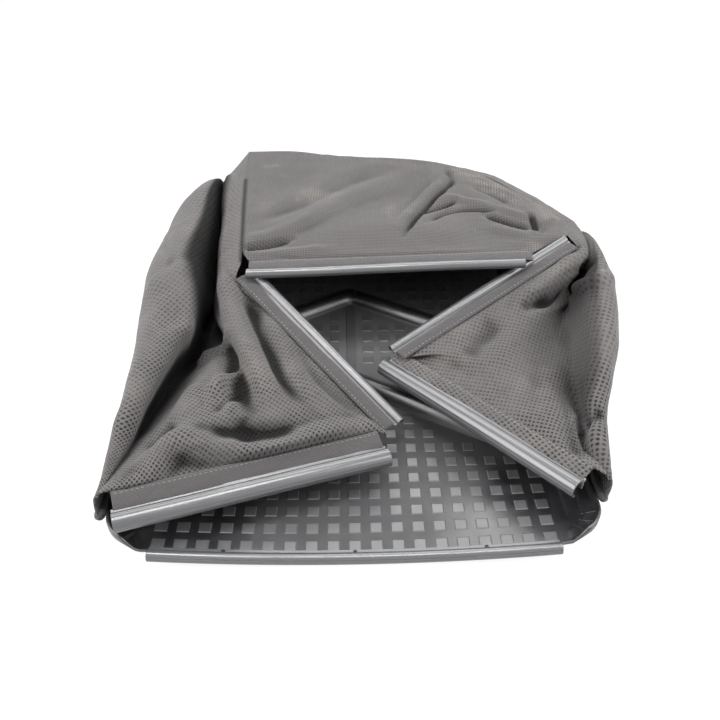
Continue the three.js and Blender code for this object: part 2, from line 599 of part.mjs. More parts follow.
// The point of the rolled hem that lies nearest to a place
function onRim([x, y]) {
  const path = rimRollPath();
  let best = path[0];
  path.slice(1).forEach((end, i) => {
    const start = path[i];
    const nearest = new THREE.Line3(start, end).closestPointToPoint(new THREE.Vector3(x, y, start.z), true,
      new THREE.Vector3());
    const gap = (point) => Math.hypot(point.x - x, point.y - y);
    if (gap(nearest) < gap(best)) best = nearest;
  });
  return best;
}

// A smooth grid through stations of control points
function clothGrid(stations, rows, columns) {
  const lines = stations.map((points) => {
    const curve = new THREE.CatmullRomCurve3(points, false, 'centripetal');
    return Array.from({ length: columns + 1 }, (_, column) => curve.getPoint(column / columns));
  });
  const runs = lines[0].map((_, column) => (
    new THREE.CatmullRomCurve3(lines.map((line) => line[column]), false, 'centripetal')));
  return Array.from({ length: rows + 1 }, (_, row) => runs.map((run) => run.getPoint(row / rows)));
}

// A grid as a sheet of cloth; a margin makes it thicker and wider all round
function clothSolid(grid, margin = 0) {
  const rows = grid.length;
  const columns = grid[0].length;
  const away = (point, from) => point.clone().addScaledVector(point.clone().sub(from).normalize(), margin);
  const wide = grid.map((line) => line.map((point) => point.clone()));
  grid.forEach((line, row) => {
    wide[row][0] = away(line[0], line[1]);
    wide[row][columns - 1] = away(line[columns - 1], line[columns - 2]);
  });
  for (let column = 0; column < columns; column += 1) {
    wide[0][column].add(away(grid[0][column], grid[1][column]).sub(grid[0][column]));
    wide[rows - 1][column].add(away(grid[rows - 1][column], grid[rows - 2][column]).sub(grid[rows - 1][column]));
  }
  const half = CLOTH / 2 + margin;
  const normal = (row, column) => {
    const along = grid[Math.min(row + 1, rows - 1)][column].clone().sub(grid[Math.max(row - 1, 0)][column]);
    const across = grid[row][Math.min(column + 1, columns - 1)].clone().sub(grid[row][Math.max(column - 1, 0)]);
    return across.cross(along).normalize();
  };
  const side = (sign) => wide.map((line, row) => line.map((point, column) => (
    point.clone().addScaledVector(normal(row, column), sign * half))));
  return gridSolid(side(1), side(-1));
}

function gridSolid(top, bottom) {
  const rows = top.length;
  const columns = top[0].length;
  const positions = [...top.flat(), ...bottom.flat()].flatMap((point) => [point.x, point.y, point.z]);
  const upper = (row, column) => row * columns + column;
  const lower = (row, column) => rows * columns + upper(row, column);
  const index = [];
  const quad = (a, b, c, d) => index.push(a, b, c, a, c, d);
  const [lastRow, lastColumn] = [rows - 1, columns - 1];
  for (let row = 0; row < lastRow; row += 1) {
    for (let column = 0; column < lastColumn; column += 1) {
      quad(upper(row, column), upper(row, column + 1), upper(row + 1, column + 1), upper(row + 1, column));
      quad(lower(row, column), lower(row + 1, column), lower(row + 1, column + 1), lower(row, column + 1));
    }
    quad(upper(row, 0), upper(row + 1, 0), lower(row + 1, 0), lower(row, 0));
    quad(lower(row, lastColumn), lower(row + 1, lastColumn), upper(row + 1, lastColumn), upper(row, lastColumn));
  }
  for (let column = 0; column < lastColumn; column += 1) {
    quad(lower(0, column), lower(0, column + 1), upper(0, column + 1), upper(0, column));
    quad(upper(lastRow, column), upper(lastRow, column + 1), lower(lastRow, column + 1), lower(lastRow, column));
  }
  const geometry = new THREE.BufferGeometry();
  geometry.setAttribute('position', new THREE.Float32BufferAttribute(positions, 3));
  geometry.setIndex(index);
  const solid = toSolid(geometry);
  if (solid.volume() > 0) return solid;
  geometry.setIndex(index.toReversed());
  return toSolid(geometry);
}

// A station as points: its rim, its middle, and the hem or seam where it ends
function stationPoints({ rim, over, hem, seam }) {
  const points = [];
  if (rim) points.push(...(Array.isArray(rim[0]) ? rim : [rim]).map(onRim));
  if (over) points.push(...over.map(vector));
  if (hem === 'top') points.push(...TOP_HEM_SHARES.map((share) => hemEdge('top', share)));
  else if (hem) points.push(hemEdge(...hem));
  if (seam) points.push(vector(seam));
  return points;
}

function panelGrid(stations) {
  const points = stations.map(stationPoints);
  return clothGrid(points, (points.length - 1) * GRID_STEPS, (points[0].length - 1) * GRID_STEPS);
}

// Assembly

const railHoles = RIVET_PLACES.map(rivetHole);
addPiece('tray', railHoles.reduce((tray, hole) => tray.subtract(hole), makeTray()), BLACK_MOULDING);
addPiece('front_clip_rail', makeRail(), CLIP_PLASTIC);
['left', 'middle', 'right'].forEach((place, i) => {
  addPiece(`front_rivet_${place}`, makeRivet(RIVET_PLACES[i]), DARK_STEEL);
});

const hemRooms = [];
const clipRooms = [];
Object.entries(CLIPS).forEach(([place, clip]) => {
  addPiece(`${place}_clip`, makeClip(clip), CLIP_PLASTIC);
  clipRooms.push(clipRoom(clip));
  hemRooms.push(makeHem(clip, CLEARANCE));
});
Object.entries(CLIPS).forEach(([place, clip]) => {
  const others = clipRooms.reduce((hem, room) => hem.subtract(room), makeHem(clip));
  addPiece(`${place}_hem`, largest(others), HEM_TAPE);
});

addPiece('rim_roll', makeRimRoll(), HEM_TAPE);
const rooms = [...clipRooms, ...hemRooms, makeRimRoll(CLEARANCE), trayRoom()];
const panels = [
  { name: 'left_side_panel', grid: panelGrid(LEFT_STATIONS), look: SIDE_MESH },
  { name: 'right_side_panel', grid: panelGrid(RIGHT_STATIONS), look: SIDE_MESH },
  { name: 'top_panel', grid: panelGrid(TOP_STATIONS), look: TOP_WEAVE },
  { name: 'rear_panel', grid: panelGrid(REAR_STATIONS), look: SIDE_MESH },
];
panels.forEach(({ name, grid, look }) => {
  addPiece(name, largest(rooms.reduce((cloth, room) => cloth.subtract(room), clothSolid(grid))), look);
  rooms.push(clothSolid(grid, CLEARANCE));
});

export default group;
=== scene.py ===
import math

import bmesh
import bpy
import numpy as np
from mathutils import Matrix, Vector, noise


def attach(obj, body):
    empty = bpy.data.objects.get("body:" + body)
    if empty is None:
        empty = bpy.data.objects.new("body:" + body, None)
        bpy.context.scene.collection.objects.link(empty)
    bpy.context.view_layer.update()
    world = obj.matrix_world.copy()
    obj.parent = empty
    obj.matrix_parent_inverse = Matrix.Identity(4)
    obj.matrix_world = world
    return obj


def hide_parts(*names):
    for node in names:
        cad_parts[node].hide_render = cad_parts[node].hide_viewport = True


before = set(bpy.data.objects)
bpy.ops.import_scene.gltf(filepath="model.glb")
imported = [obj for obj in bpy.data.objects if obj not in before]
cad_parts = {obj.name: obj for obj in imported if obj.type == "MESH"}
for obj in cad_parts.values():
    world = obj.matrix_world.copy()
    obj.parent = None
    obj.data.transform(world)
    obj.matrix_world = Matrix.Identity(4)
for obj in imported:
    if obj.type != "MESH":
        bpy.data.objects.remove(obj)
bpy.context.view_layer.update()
print("frame loaded:", len(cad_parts), "nodes")

mm = 0.001  # every size below is in millimetres; meshes are scaled by mm when they are made

# Camera: the photograph's, fitted to the tray's grid of squares

cameraView = {
    "place": (-3.6, -617.4, 529.7),
    "down": math.radians(41.22),  # below the horizon
    "yaw": math.radians(1.19),  # to the right of +Y
    "lens": 37.5, "sensor": 36, "near": 0.01,
    "frame": 720,  # pixels of the photograph
}


def linkObject(name, data):
    made = bpy.data.objects.new(name, data)
    bpy.context.collection.objects.link(made)
    return made


def makeCamera():
    data = bpy.data.cameras.new("photoCamera")
    data.lens, data.sensor_width, data.clip_start = (cameraView[key] for key in ("lens", "sensor", "near"))
    camera = linkObject("photoCamera", data)
    camera.location = Vector(cameraView["place"]) * mm
    camera.rotation_euler = (math.pi / 2 - cameraView["down"], 0, -cameraView["yaw"])
    bpy.context.scene.camera = camera


def toFrame(points):
    # millimetres in the part's frame to pixels of the photograph
    down, yaw = cameraView["down"], cameraView["yaw"]
    ahead = np.array([math.sin(yaw) * math.cos(down), math.cos(yaw) * math.cos(down), -math.sin(down)])
    right = np.array([math.cos(yaw), -math.sin(yaw), 0])
    away = points - np.array(cameraView["place"])
    scale = cameraView["lens"] / cameraView["sensor"] * cameraView["frame"] / (away @ ahead)
    middle = cameraView["frame"] / 2
    return np.stack([middle + (away @ axis) * scale for axis in (right, np.cross(ahead, right))], axis=-1)


makeCamera()

# Node trees


def setInputs(tree, node, inputs):
    for name, value in inputs.items():
        if isinstance(value, bpy.types.NodeSocket):
            tree.links.new(value, node.inputs[name])
        else:
            node.inputs[name].default_value = value


def addNode(tree, kind, inputs=None, **settings):
    node = tree.nodes.new(kind)
    for name, value in settings.items():
        setattr(node, name, value)
    setInputs(tree, node, inputs or {})
    return node


def mathNode(tree, operation, first, second=0.0):
    return addNode(tree, "ShaderNodeMath", {0: first, 1: second}, operation=operation).outputs[0]


def mixColour(tree, share, first, second):
    node = addNode(tree, "ShaderNodeMix", {"Factor": share}, data_type="RGBA")
    for slot, value in ((6, first), (7, second)):
        setInputs(tree, node, {slot: value if isinstance(value, bpy.types.NodeSocket) else (*value, 1)})
    return node.outputs[2]


def softStep(tree, value, low, high, outLow=0.0, outHigh=1.0):
    inputs = {"Value": value, "From Min": low, "From Max": high, "To Min": outLow, "To Max": outHigh}
    return addNode(tree, "ShaderNodeMapRange", inputs, interpolation_type="SMOOTHSTEP").outputs[0]


def newMaterial(name):
    material = bpy.data.materials.new(name)
    material.use_nodes = True
    tree = material.node_tree
    return material, tree, tree.nodes["Principled BSDF"]


def objectPlace(tree):
    return addNode(tree, "ShaderNodeTexCoord").outputs["Object"]


def objectNoise(tree, scale, detail=3.0, stretch=(1, 1, 1)):
    placed = addNode(tree, "ShaderNodeMapping", {"Vector": objectPlace(tree), "Scale": stretch}).outputs[0]
    inputs = {"Vector": placed, "Scale": scale, "Detail": detail, "Roughness": 0.6}
    return addNode(tree, "ShaderNodeTexNoise", inputs).outputs["Fac"]


def patches(tree, waves, step):
    # noise of a scale and detail, through a soft step: from, to, and what they become
    return softStep(tree, objectNoise(tree, *waves), *step)


def addBumps(tree, shader, bumps):
    # each bump lies on the one before it: a height or its noise, the distance in metres and the strength
    under = {}
    for height, distance, strength in bumps:
        if isinstance(height, tuple):
            height = objectNoise(tree, *height)
        inputs = {"Height": height, "Distance": distance, "Strength": strength, **under}
        under = {"Normal": addNode(tree, "ShaderNodeBump", inputs).outputs[0]}
    setInputs(tree, shader, under)


# Materials: patches and bumps as those two functions take them

trayFinish = {
    "black": (0.018, 0.0182, 0.02),
    "worn": (0.045, 0.045, 0.047),
    "gloss": (0.27, 0.38),
    "floor": (0.0035, 0.006, 1, 0),  # the floor is what lies under this stretch of height, in metres
    "floorRough": 0.42,  # added to the floor's roughness
    "dust": (0.13, 0.13, 0.133),
    "dusty": (-0.12, -0.03),  # the floor is paler behind this stretch of Y, in metres
    "square": (0.085, 0.085, 0.088),
    "squareWorn": (0.11, 0.11, 0.112),
    "squareGloss": (0.37, 0.5),
    "uneven": ((45, 5), (0.3, 0.7)),
    "wear": ((28, 6), (0.5, 0.78)),
    "streaks": ((60, 4, (1, 0.12, 1)), (0.5, 0.8, 0, 0.6)),
    "bumps": (((40, 2), 0.0002, 0.4), ((900, 2), 0.00002, 0.25)),
}
clipFinish = {
    "plastic": (0.09, 0.091, 0.096),
    "scuff": (0.24, 0.236, 0.232),
    "gloss": (0.3, 0.7, 0.2, 0.34),
    "drawnScale": (7, 260, 1),  # the marks of drawing run along the strip
    "drawnDetail": 4.0,
    "drawnScuffs": (0.54, 0.72),
    "scuffed": ((22, 4), (0.42, 0.66)),
    "lines": (0.0004, 0.4),
    "grain": ((1400, 2), 0.00005, 0.3),
}
meshFinish = {
    "thread": (0.136, 0.128, 0.126),
    "gap": (0.018, 0.016, 0.016),
    "dust": (0.25, 0.235, 0.215),
    "pitch": (4.3, 3.8),  # along a row, and from row to row
    "turn": 17,  # degrees between the rows and the cloth's long direction
    "opening": (0.16, 0.42, 1, 0),
    "uneven": ((240, 3), (0.25, 0.75, -0.07, 0.07)),
    "clear": ((26, 3), (0.36, 0.62, 0.5, 1)),  # where the holes show more or less
    "stretched": (-0.2, 0.04, 1, 0.45),  # the holes stand open in front of this stretch of Y, in metres
    "dusty": ((16, 5), (0.48, 0.75, 0, 0.4)),
    "shade": 0.1,  # painted shade: what is left of the colour at the bottom of a fold
    "rough": 0.88, "knit": (0.0012, 0.85), "grain": ((1300, 2), 0.0003, 0.5),
}
topFinish = {
    "thread": (0.126, 0.118, 0.119),
    "gap": (0.08, 0.073, 0.072),
    "dust": (0.33, 0.31, 0.28),
    "pitch": (2.2, 2.9),
    "opening": (0.16, 0.5, 1, 0),
    "dusty": ((11, 6), (0.56, 0.72, 0, 0.55)),
    "specks": ((330, 3), (0.7, 0.78, 0, 0.8)),
    "marked": ((120, 5), (0.3, 0.7, 0.35, 1)),
    # painted shade: what is left of the colour at the bottom of a fold
    "shade": 0.3,
    "rough": 0.85, "knit": (0.0006, 0.7), "grain": ((1300, 2), 0.0003, 0.5),
}
hemFinish = {
    "thread": (0.1, 0.094, 0.094),
    "gap": (0.04, 0.037, 0.037),
    "pitch": (1.1, 1.2),
    "opening": (0.2, 0.55, 1, 0),
    "rough": 0.85, "knit": (0.0004, 0.7), "grain": ((180, 3), 0.0012, 0.6),
}
# specular of the cloths that carry painted shade; sheenGone: where the painted shade is this deep, the sheen has faded
# out
clothGloss = {"specular": 0.2, "sheen": 0.25, "sheenGone": 0.8}
plainFinish = {
    "thread": ((0.3, 0.29, 0.285), 0.8),
    "rivet": ((0.014, 0.014, 0.016), 0.4, 0.6),
    "uneven": ((700, 3), (0.3, 0.7, 0.75, 1.25)),
    "bumps": (((1500, 2), 0.0001, 0.4),),
}


def makeTrayPlastic(name, colour, worn, gloss, floorRough=None):
    material, tree, shader = newMaterial(name)
    share = mathNode(tree, "MAXIMUM", patches(tree, *trayFinish["wear"]), patches(tree, *trayFinish["streaks"]))
    at = addNode(tree, "ShaderNodeSeparateXYZ", {0: objectPlace(tree)}).outputs
    floor = softStep(tree, at["Z"], *trayFinish["floor"])
    dust = mathNode(tree, "MULTIPLY", softStep(tree, at["Y"], *trayFinish["dusty"]), floor)
    base = mixColour(tree, share, colour, worn)
    waves, step = trayFinish["uneven"]
    rough = patches(tree, waves, (*step, *gloss))
    if floorRough:
        rough = mathNode(tree, "ADD", rough, mathNode(tree, "MULTIPLY", floor, floorRough))
    dusted = mixColour(tree, dust, base, trayFinish["dust"])
    setInputs(tree, shader, {"Base Color": dusted, "Roughness": rough, "Specular IOR Level": 1.0})
    addBumps(tree, shader, trayFinish["bumps"])
    return material


def makeClipPlastic():
    material, tree, shader = newMaterial("clipPlastic")
    along = addNode(tree, "ShaderNodeUVMap", uv_map="along").outputs[0]
    inputs = {"Vector": along, "Scale": clipFinish["drawnScale"]}
    stretched = addNode(tree, "ShaderNodeMapping", inputs).outputs[0]
    inputs = {"Vector": stretched, "Scale": 1.0, "Detail": clipFinish["drawnDetail"]}
    drawn = addNode(tree, "ShaderNodeTexNoise", inputs).outputs["Fac"]
    drawnScuffs = softStep(tree, drawn, *clipFinish["drawnScuffs"])
    scuffs = mathNode(tree, "MULTIPLY", drawnScuffs, patches(tree, *clipFinish["scuffed"]))
    base = mixColour(tree, scuffs, clipFinish["plastic"], clipFinish["scuff"])
    rough = softStep(tree, drawn, *clipFinish["gloss"])
    setInputs(tree, shader, {"Base Color": base, "Roughness": rough, "Specular IOR Level": 1.0})
    addBumps(tree, shader, [(drawn, *clipFinish["lines"]), clipFinish["grain"]])
    return material


def clothOpening(tree, finish, uneven=None):
    # the gaps between the threads, on a lattice laid over the cloth
    cloth = addNode(tree, "ShaderNodeUVMap", uv_map="cloth").outputs[0]
    inputs = {"Vector": cloth, "Rotation": (0, 0, math.radians(finish.get("turn", 0)))}
    turned = addNode(tree, "ShaderNodeMapping", inputs).outputs[0]
    across, down = (1 / (size * mm) for size in finish["pitch"])
    scaled = addNode(tree, "ShaderNodeMapping", {"Vector": turned, "Scale": (across, down, 1)}).outputs[0]
    inputs = {"Vector": scaled, "Scale": 1.0, "Randomness": 0.0}
    dots = addNode(tree, "ShaderNodeTexVoronoi", inputs, voronoi_dimensions="2D").outputs["Distance"]
    if uneven:
        dots = mathNode(tree, "ADD", dots, patches(tree, *uneven))
    return softStep(tree, dots, *finish["opening"])


def dressCloth(tree, shader, finish, opening, dust=None):
    thread = mixColour(tree, dust, finish["thread"], finish["dust"]) if dust else finish["thread"]
    colour, sheen = mixColour(tree, opening, thread, finish["gap"]), clothGloss["sheen"]
    if "shade" in finish:
        # painted shade: the colour is darkened, and the sheen fades out, by the painted shade attribute at the bottoms
        # of the folds and along the seams
        depth = addNode(tree, "ShaderNodeAttribute", attribute_name="paintedFoldShade").outputs["Fac"]
        inputs = {"Color": colour, "Value": finish["shade"]}
        colour = mixColour(tree, depth, colour, addNode(tree, "ShaderNodeHueSaturation", inputs).outputs[0])
        sheen = softStep(tree, depth, 0, clothGloss["sheenGone"], sheen, 0)
        setInputs(tree, shader, {"Specular IOR Level": clothGloss["specular"]})
    setInputs(tree, shader, {"Base Color": colour, "Roughness": finish["rough"], "Sheen Weight": sheen})
    addBumps(tree, shader, [(mathNode(tree, "SUBTRACT", 1.0, opening), *finish["knit"]), finish["grain"]])


def makeMeshCloth():
    material, tree, shader = newMaterial("sideMesh")
    drawn = clothOpening(tree, meshFinish, meshFinish["uneven"])
    depth = addNode(tree, "ShaderNodeSeparateXYZ", {0: objectPlace(tree)}).outputs["Y"]
    opening = mathNode(tree, "MULTIPLY", drawn, patches(tree, *meshFinish["clear"]))
    opening = mathNode(tree, "MULTIPLY", opening, softStep(tree, depth, *meshFinish["stretched"]))
    dressCloth(tree, shader, meshFinish, opening, patches(tree, *meshFinish["dusty"]))
    return material


def makeTopCloth():
    material, tree, shader = newMaterial("topWeave")
    marks = addNode(tree, "ShaderNodeAttribute", attribute_name="dustMarks").outputs["Fac"]
    marked = mathNode(tree, "MULTIPLY", marks, patches(tree, *topFinish["marked"]))
    dust = mathNode(tree, "MAXIMUM", patches(tree, *topFinish["dusty"]), patches(tree, *topFinish["specks"]))
    dressCloth(tree, shader, topFinish, clothOpening(tree, topFinish), mathNode(tree, "MAXIMUM", dust, marked))
    return material


def makeHemTape():
    material, tree, shader = newMaterial("hemTape")
    dressCloth(tree, shader, hemFinish, clothOpening(tree, hemFinish))
    return material


def makePlain(name, colour, roughness, metallic=0.0):
    material, tree, shader = newMaterial(name)
    inputs = {"Color": (*colour, 1), "Value": patches(tree, *plainFinish["uneven"])}
    base = addNode(tree, "ShaderNodeHueSaturation", inputs).outputs[0]
    setInputs(tree, shader, {"Base Color": base, "Roughness": roughness, "Metallic": metallic})
    addBumps(tree, shader, plainFinish["bumps"])
    return material


finishes = {
    "tray": makeTrayPlastic("trayPlastic", *(trayFinish[key] for key in ("black", "worn", "gloss", "floorRough"))),
    "squares": makeTrayPlastic("squarePlastic", *(trayFinish[key] for key in ("square", "squareWorn", "squareGloss"))),
    "clip": makeClipPlastic(),
    "mesh": makeMeshCloth(),
    "top": makeTopCloth(),
    "hem": makeHemTape(),
    "thread": makePlain("sewingThread", *plainFinish["thread"]),
    "rivet": makePlain("rivetSteel", *plainFinish["rivet"]),
}
print("materials made:", len(finishes))

# Mesh helpers


def loopCorners(mesh):
    corners = np.zeros(len(mesh.loops), int)
    mesh.loops.foreach_get("vertex_index", corners)
    return corners


def meshFrom(name, vertices, faces):
    mesh = bpy.data.meshes.new(name)
    mesh.from_pydata((np.asarray(vertices, float) * mm).tolist(), [], faces)
    return mesh


def keepPiece(piece, nodes):
    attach(piece, "root")
    if nodes:
        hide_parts(*nodes)
    return piece


def newPiece(name, vertices, faces, finish, nodes=(), smooth=True, uvName=None, uvs=None):
    mesh = meshFrom(name, vertices, faces)
    mesh.update()
    if uvs is not None:
        layer = mesh.uv_layers.new(name=uvName)
        layer.data.foreach_set("uv", np.asarray(uvs, float)[loopCorners(mesh)].ravel())
    mesh.polygons.foreach_set("use_smooth", [smooth] * len(mesh.polygons))
    mesh.materials.append(finishes[finish])
    return keepPiece(linkObject(name, mesh), nodes)


def settle(piece):
    # turns a piece's modifiers into plain mesh
    graph = bpy.context.evaluated_depsgraph_get()
    mesh = bpy.data.meshes.new_from_object(piece.evaluated_get(graph))
    piece.modifiers.clear()
    piece.data = mesh


def bevelEdges(piece, width, angle=35):
    bevel = piece.modifiers.new("edges", "BEVEL")
    bevel.width, bevel.segments = width * mm, 2
    bevel.limit_method, bevel.angle_limit = "ANGLE", math.radians(angle)
    bevel.harden_normals = True
    settle(piece)


def ringFaces(rings, count):
    # quads between rings of the same count, each ring closed on itself
    faces = []
    for ring in range(rings - 1):
        for side in range(count):
            here, beside = ring * count + side, ring * count + (side + 1) % count
            faces.append((here, beside, beside + count, here + count))
    return faces


def ringCaps(rings, count):
    return [tuple(reversed(range(count))), tuple(range((rings - 1) * count, rings * count))]


def boxPiece(name, boxes, finish, bevel):
    # each box is its four lower corners and the four above them, and a flag that turns its faces over
    vertices, faces = [], []
    for corners, turned in boxes:
        start = len(vertices)
        vertices += corners
        for face in ((3, 2, 1, 0), (4, 5, 6, 7), (0, 1, 5, 4), (1, 2, 6, 5), (2, 3, 7, 6), (3, 0, 4, 7)):
            faces.append([start + corner for corner in (face[::-1] if turned else face)])
    bevelEdges(newPiece(name, vertices, faces, finish, ["tray"], False), bevel)


def lengthsAlong(line):
    return np.concatenate([[0], np.cumsum(np.linalg.norm(np.diff(line, axis=0), axis=1))])


def between(low, high, share):
    low, high = np.array(low), np.array(high)
    return low + (high - low) * share


def eased(share):
    return share * share * (3 - 2 * share)


def roundedLine(points, radius, steps=4):
    # a line whose inner corners are rounded, each over less than half of its sides
    points = [np.array(point, float) for point in points]
    line = [points[0]]
    for before, corner, after in zip(points, points[1:], points[2:]):
        sides = [(point - corner, np.linalg.norm(point - corner)) for point in (before, after)]
        reach = min(radius, sides[0][1] / 2.2, sides[1][1] / 2.2)
        start, end = (corner + way / length * reach for way, length in sides)
        for t in np.linspace(0, 1, steps + 1):
            line.append((1 - t) ** 2 * start + 2 * t * (1 - t) * corner + t * t * end)
    return line + [points[-1]]


def splineAt(points, places):
    # centripetal curve through the points; places run from 0 to the last point's number
    points = np.asarray(points, float)
    last = len(points) - 1
    first = np.minimum(np.floor(places).astype(int), last - 1)
    share = (places - first)[:, None]
    padded = np.vstack([2 * points[0] - points[1], points, 2 * points[-1] - points[-2]])
    p0, p1, p2, p3 = (padded[first + step] for step in range(4))
    gap = [np.maximum(np.linalg.norm(b - a, axis=1), 1e-4)[:, None] ** 0.5 for a, b in ((p0, p1), (p1, p2), (p2, p3))]
    t1 = ((p1 - p0) / gap[0] - (p2 - p0) / (gap[0] + gap[1]) + (p2 - p1) / gap[1]) * gap[1]
    t2 = ((p2 - p1) / gap[1] - (p3 - p1) / (gap[1] + gap[2]) + (p3 - p2) / gap[2]) * gap[1]
    cube, square = share ** 3, share ** 2
    return ((2 * cube - 3 * square + 1) * p1 + (cube - 2 * square + share) * t1
            + (3 * square - 2 * cube) * p2 + (cube - square) * t2)


def splineLine(points, steps):
    return splineAt(points, np.linspace(0, len(points) - 1, steps + 1))


# Tray

tray = {
    "width": 410, "front": -259, "rear": 250, "wall": 3,
    "frontCorner": 30, "rearCorner": 60, "cornerSteps": 12, "frontSteps": 44, "sideSteps": 25,
    "rim": 14, "rimWall": 3, "terraceRise": 3.6, "terraceWidth": 10, "terraceSlope": 1.5,
    "dish": 12, "dishX": 190, "dishEnd": -130,
    "edge": 1.1, "merge": 0.99, "leastCorner": 0.5,
    # how far in the floor's rings lie, as shares of half the width
    "rings": (0.998, 0.9, 0.8, 0.7, 0.62, 0.54, 0.47, 0.4, 0.34, 0.28, 0.23), "lastRing": 0.18,
}


def dishLift(x, y):
    fade = np.clip((tray["dishEnd"] - y) / (tray["dishEnd"] - tray["front"]), 0, 1)
    return tray["dish"] * (x / tray["dishX"]) ** 2 * fade


def trayOutline(inset):
    right, front, rear = tray["width"] / 2 - inset, tray["front"] + inset, tray["rear"] - inset
    least = min(tray["leastCorner"], right / 2)
    frontRadius, rearRadius = (max(tray[name] - inset, least) for name in ("frontCorner", "rearCorner"))
    points = []

    def corner(x, y, radius, start):
        for step in range(tray["cornerSteps"] + 1):
            angle = math.radians(start + 90 * step / tray["cornerSteps"])
            points.append((x + radius * math.cos(angle), y + radius * math.sin(angle)))

    sideStops = [front + frontRadius + share * (rear - rearRadius - front - frontRadius)
                 for share in np.linspace(0, 1, tray["sideSteps"] + 1)[1:-1]]
    corner(right - rearRadius, rear - rearRadius, rearRadius, 0)
    corner(-right + rearRadius, rear - rearRadius, rearRadius, 90)
    points.extend((-right, y) for y in reversed(sideStops))
    corner(-right + frontRadius, front + frontRadius, frontRadius, 180)
    for step in range(1, tray["frontSteps"]):
        points.append(((2 * step / tray["frontSteps"] - 1) * (right - frontRadius), front))
    corner(right - frontRadius, front + frontRadius, frontRadius, 270)
    points.extend((right, y) for y in sideStops)
    return np.array(points)


def rimShare(points):
    start = tray["width"] / 2 - tray["frontCorner"]
    share = eased(np.clip((np.abs(points[:, 0]) - start) / (tray["frontCorner"] / 2), 0, 1))
    return np.where(points[:, 1] > tray["front"] + tray["frontCorner"] * 2, 1, share)


def makeTrayShell():
    wall, low = tray["wall"], tray["wall"] + tray["terraceRise"]
    high, top = low + tray["terraceRise"], tray["wall"] + tray["rim"]
    inner = tray["rimWall"] + tray["terraceWidth"]
    slope, outer = tray["terraceSlope"], inner + tray["terraceSlope"] + tray["terraceWidth"]
    half = tray["width"] / 2
    last = half * tray["lastRing"]
    upper = roundedLine([
        (last, wall), (outer + slope, wall), (outer, low), (inner + slope, low), (inner, high),
        (tray["rimWall"] + slope, high), (tray["rimWall"], top), (0, top), (0, high - wall + slope)], tray["edge"])
    lower = roundedLine([
        (0, high - wall + slope), (slope, high - wall), (inner - slope, high - wall), (inner, low - wall),
        (outer - slope, low - wall), (outer, 0), (last, 0)], tray["edge"])
    middle = [half * share for share in tray["rings"]]
    section = [(inset, wall, wall) for inset in middle] + [(*point, wall) for point in upper]
    section += [(*point, 0) for point in lower[1:]] + [(inset, 0, 0) for inset in reversed(middle)]
    rings = []
    for inset, height, level in section:
        outline = trayOutline(inset)
        rise = level + (height - level) * rimShare(outline) + dishLift(outline[:, 0], outline[:, 1])
        rings.append(np.column_stack([outline, rise]))
    faces = ringFaces(len(rings), len(rings[0]))
    closeMiddle(newPiece("trayShell", np.vstack(rings), faces, "tray", ["tray"]))


def closeMiddle(piece):
    # the innermost rings are a hair's width across, so merging their points closes the floor
    shape = bmesh.new()
    shape.from_mesh(piece.data)
    bmesh.ops.remove_doubles(shape, verts=shape.verts, dist=tray["merge"] * mm)
    bmesh.ops.holes_fill(shape, edges=[edge for edge in shape.edges if edge.is_boundary], sides=0)
    bmesh.ops.recalc_face_normals(shape, faces=shape.faces)
    for face in shape.faces:
        face.smooth = True
    shape.to_mesh(piece.data)
    shape.free()


floorSquares = {
    "pitch": 18, "size": 10.8, "rise": 0.6, "taper": 0.9, "columns": 9, "rows": 26, "firstRow": -256,
}
chevrons = {
    "apexes": (80, -66), "slope": 0.585, "height": 12, "length": 34, "span": 180, "apexRadius": 3,
    "section": ((0, 0), (0.03, 0.13), (0.08, 0.37), (0.15, 0.61), (0.23, 0.8), (0.32, 0.94), (0.42, 0.99),
                (0.57, 0.75), (0.8, 0.25), (1, 0)),
    "endFade": 16, "endHeight": 0.12, "endCurve": 0.6, "apexStops": (6, 8), "steps": (40, 60, 13),
    "sink": 0.2, "foot": 1.5,
}
spine = {
    "width": 10, "rise": 0.9, "foot": 0.5, "bevel": 0.5,
    "start": chevrons["apexes"][1] + chevrons["length"] - 4, "end": chevrons["apexes"][0] + 1,
}


def newTree(name, lengths, ratios, finish, takesMesh=False):
    # a Geometry Nodes tree with named inputs: lengths in mm, ratios and the material
    tree = bpy.data.node_groups.new(name, "GeometryNodeTree")

    def socket(label, kind, way="INPUT"):
        return tree.interface.new_socket(label, in_out=way, socket_type=f"NodeSocket{kind}").identifier

    if takesMesh:
        socket("Geometry", "Geometry")
    values = {socket(label, "Float"): value * mm for label, value in lengths.items()}
    values.update({socket(label, "Float"): value for label, value in ratios.items()})
    values[socket("Material", "Material")] = finishes[finish]
    socket("Geometry", "Geometry", "OUTPUT")
    return tree, values, addNode(tree, "NodeGroupInput").outputs


def placeCopies(tree, inputs):
    placed = addNode(tree, "GeometryNodeInstanceOnPoints", inputs).outputs[0]
    return addNode(tree, "GeometryNodeRealizeInstances", {"Geometry": placed}).outputs[0]


def endTree(tree, geometry, material):
    done = addNode(tree, "GeometryNodeSetMaterial", {"Geometry": geometry, "Material": material}).outputs[0]
    addNode(tree, "NodeGroupOutput", {"Geometry": done})


def treePiece(name, tree, values, nodes=(), mesh=None):
    # runs a node tree and keeps its result as a plain mesh
    piece = linkObject(name, mesh or bpy.data.meshes.new(name))
    modifier = piece.modifiers.new(name, "NODES")
    modifier.node_group = tree
    for identifier, value in values.items():
        modifier[identifier] = value
    settle(piece)
    return keepPiece(piece, nodes)


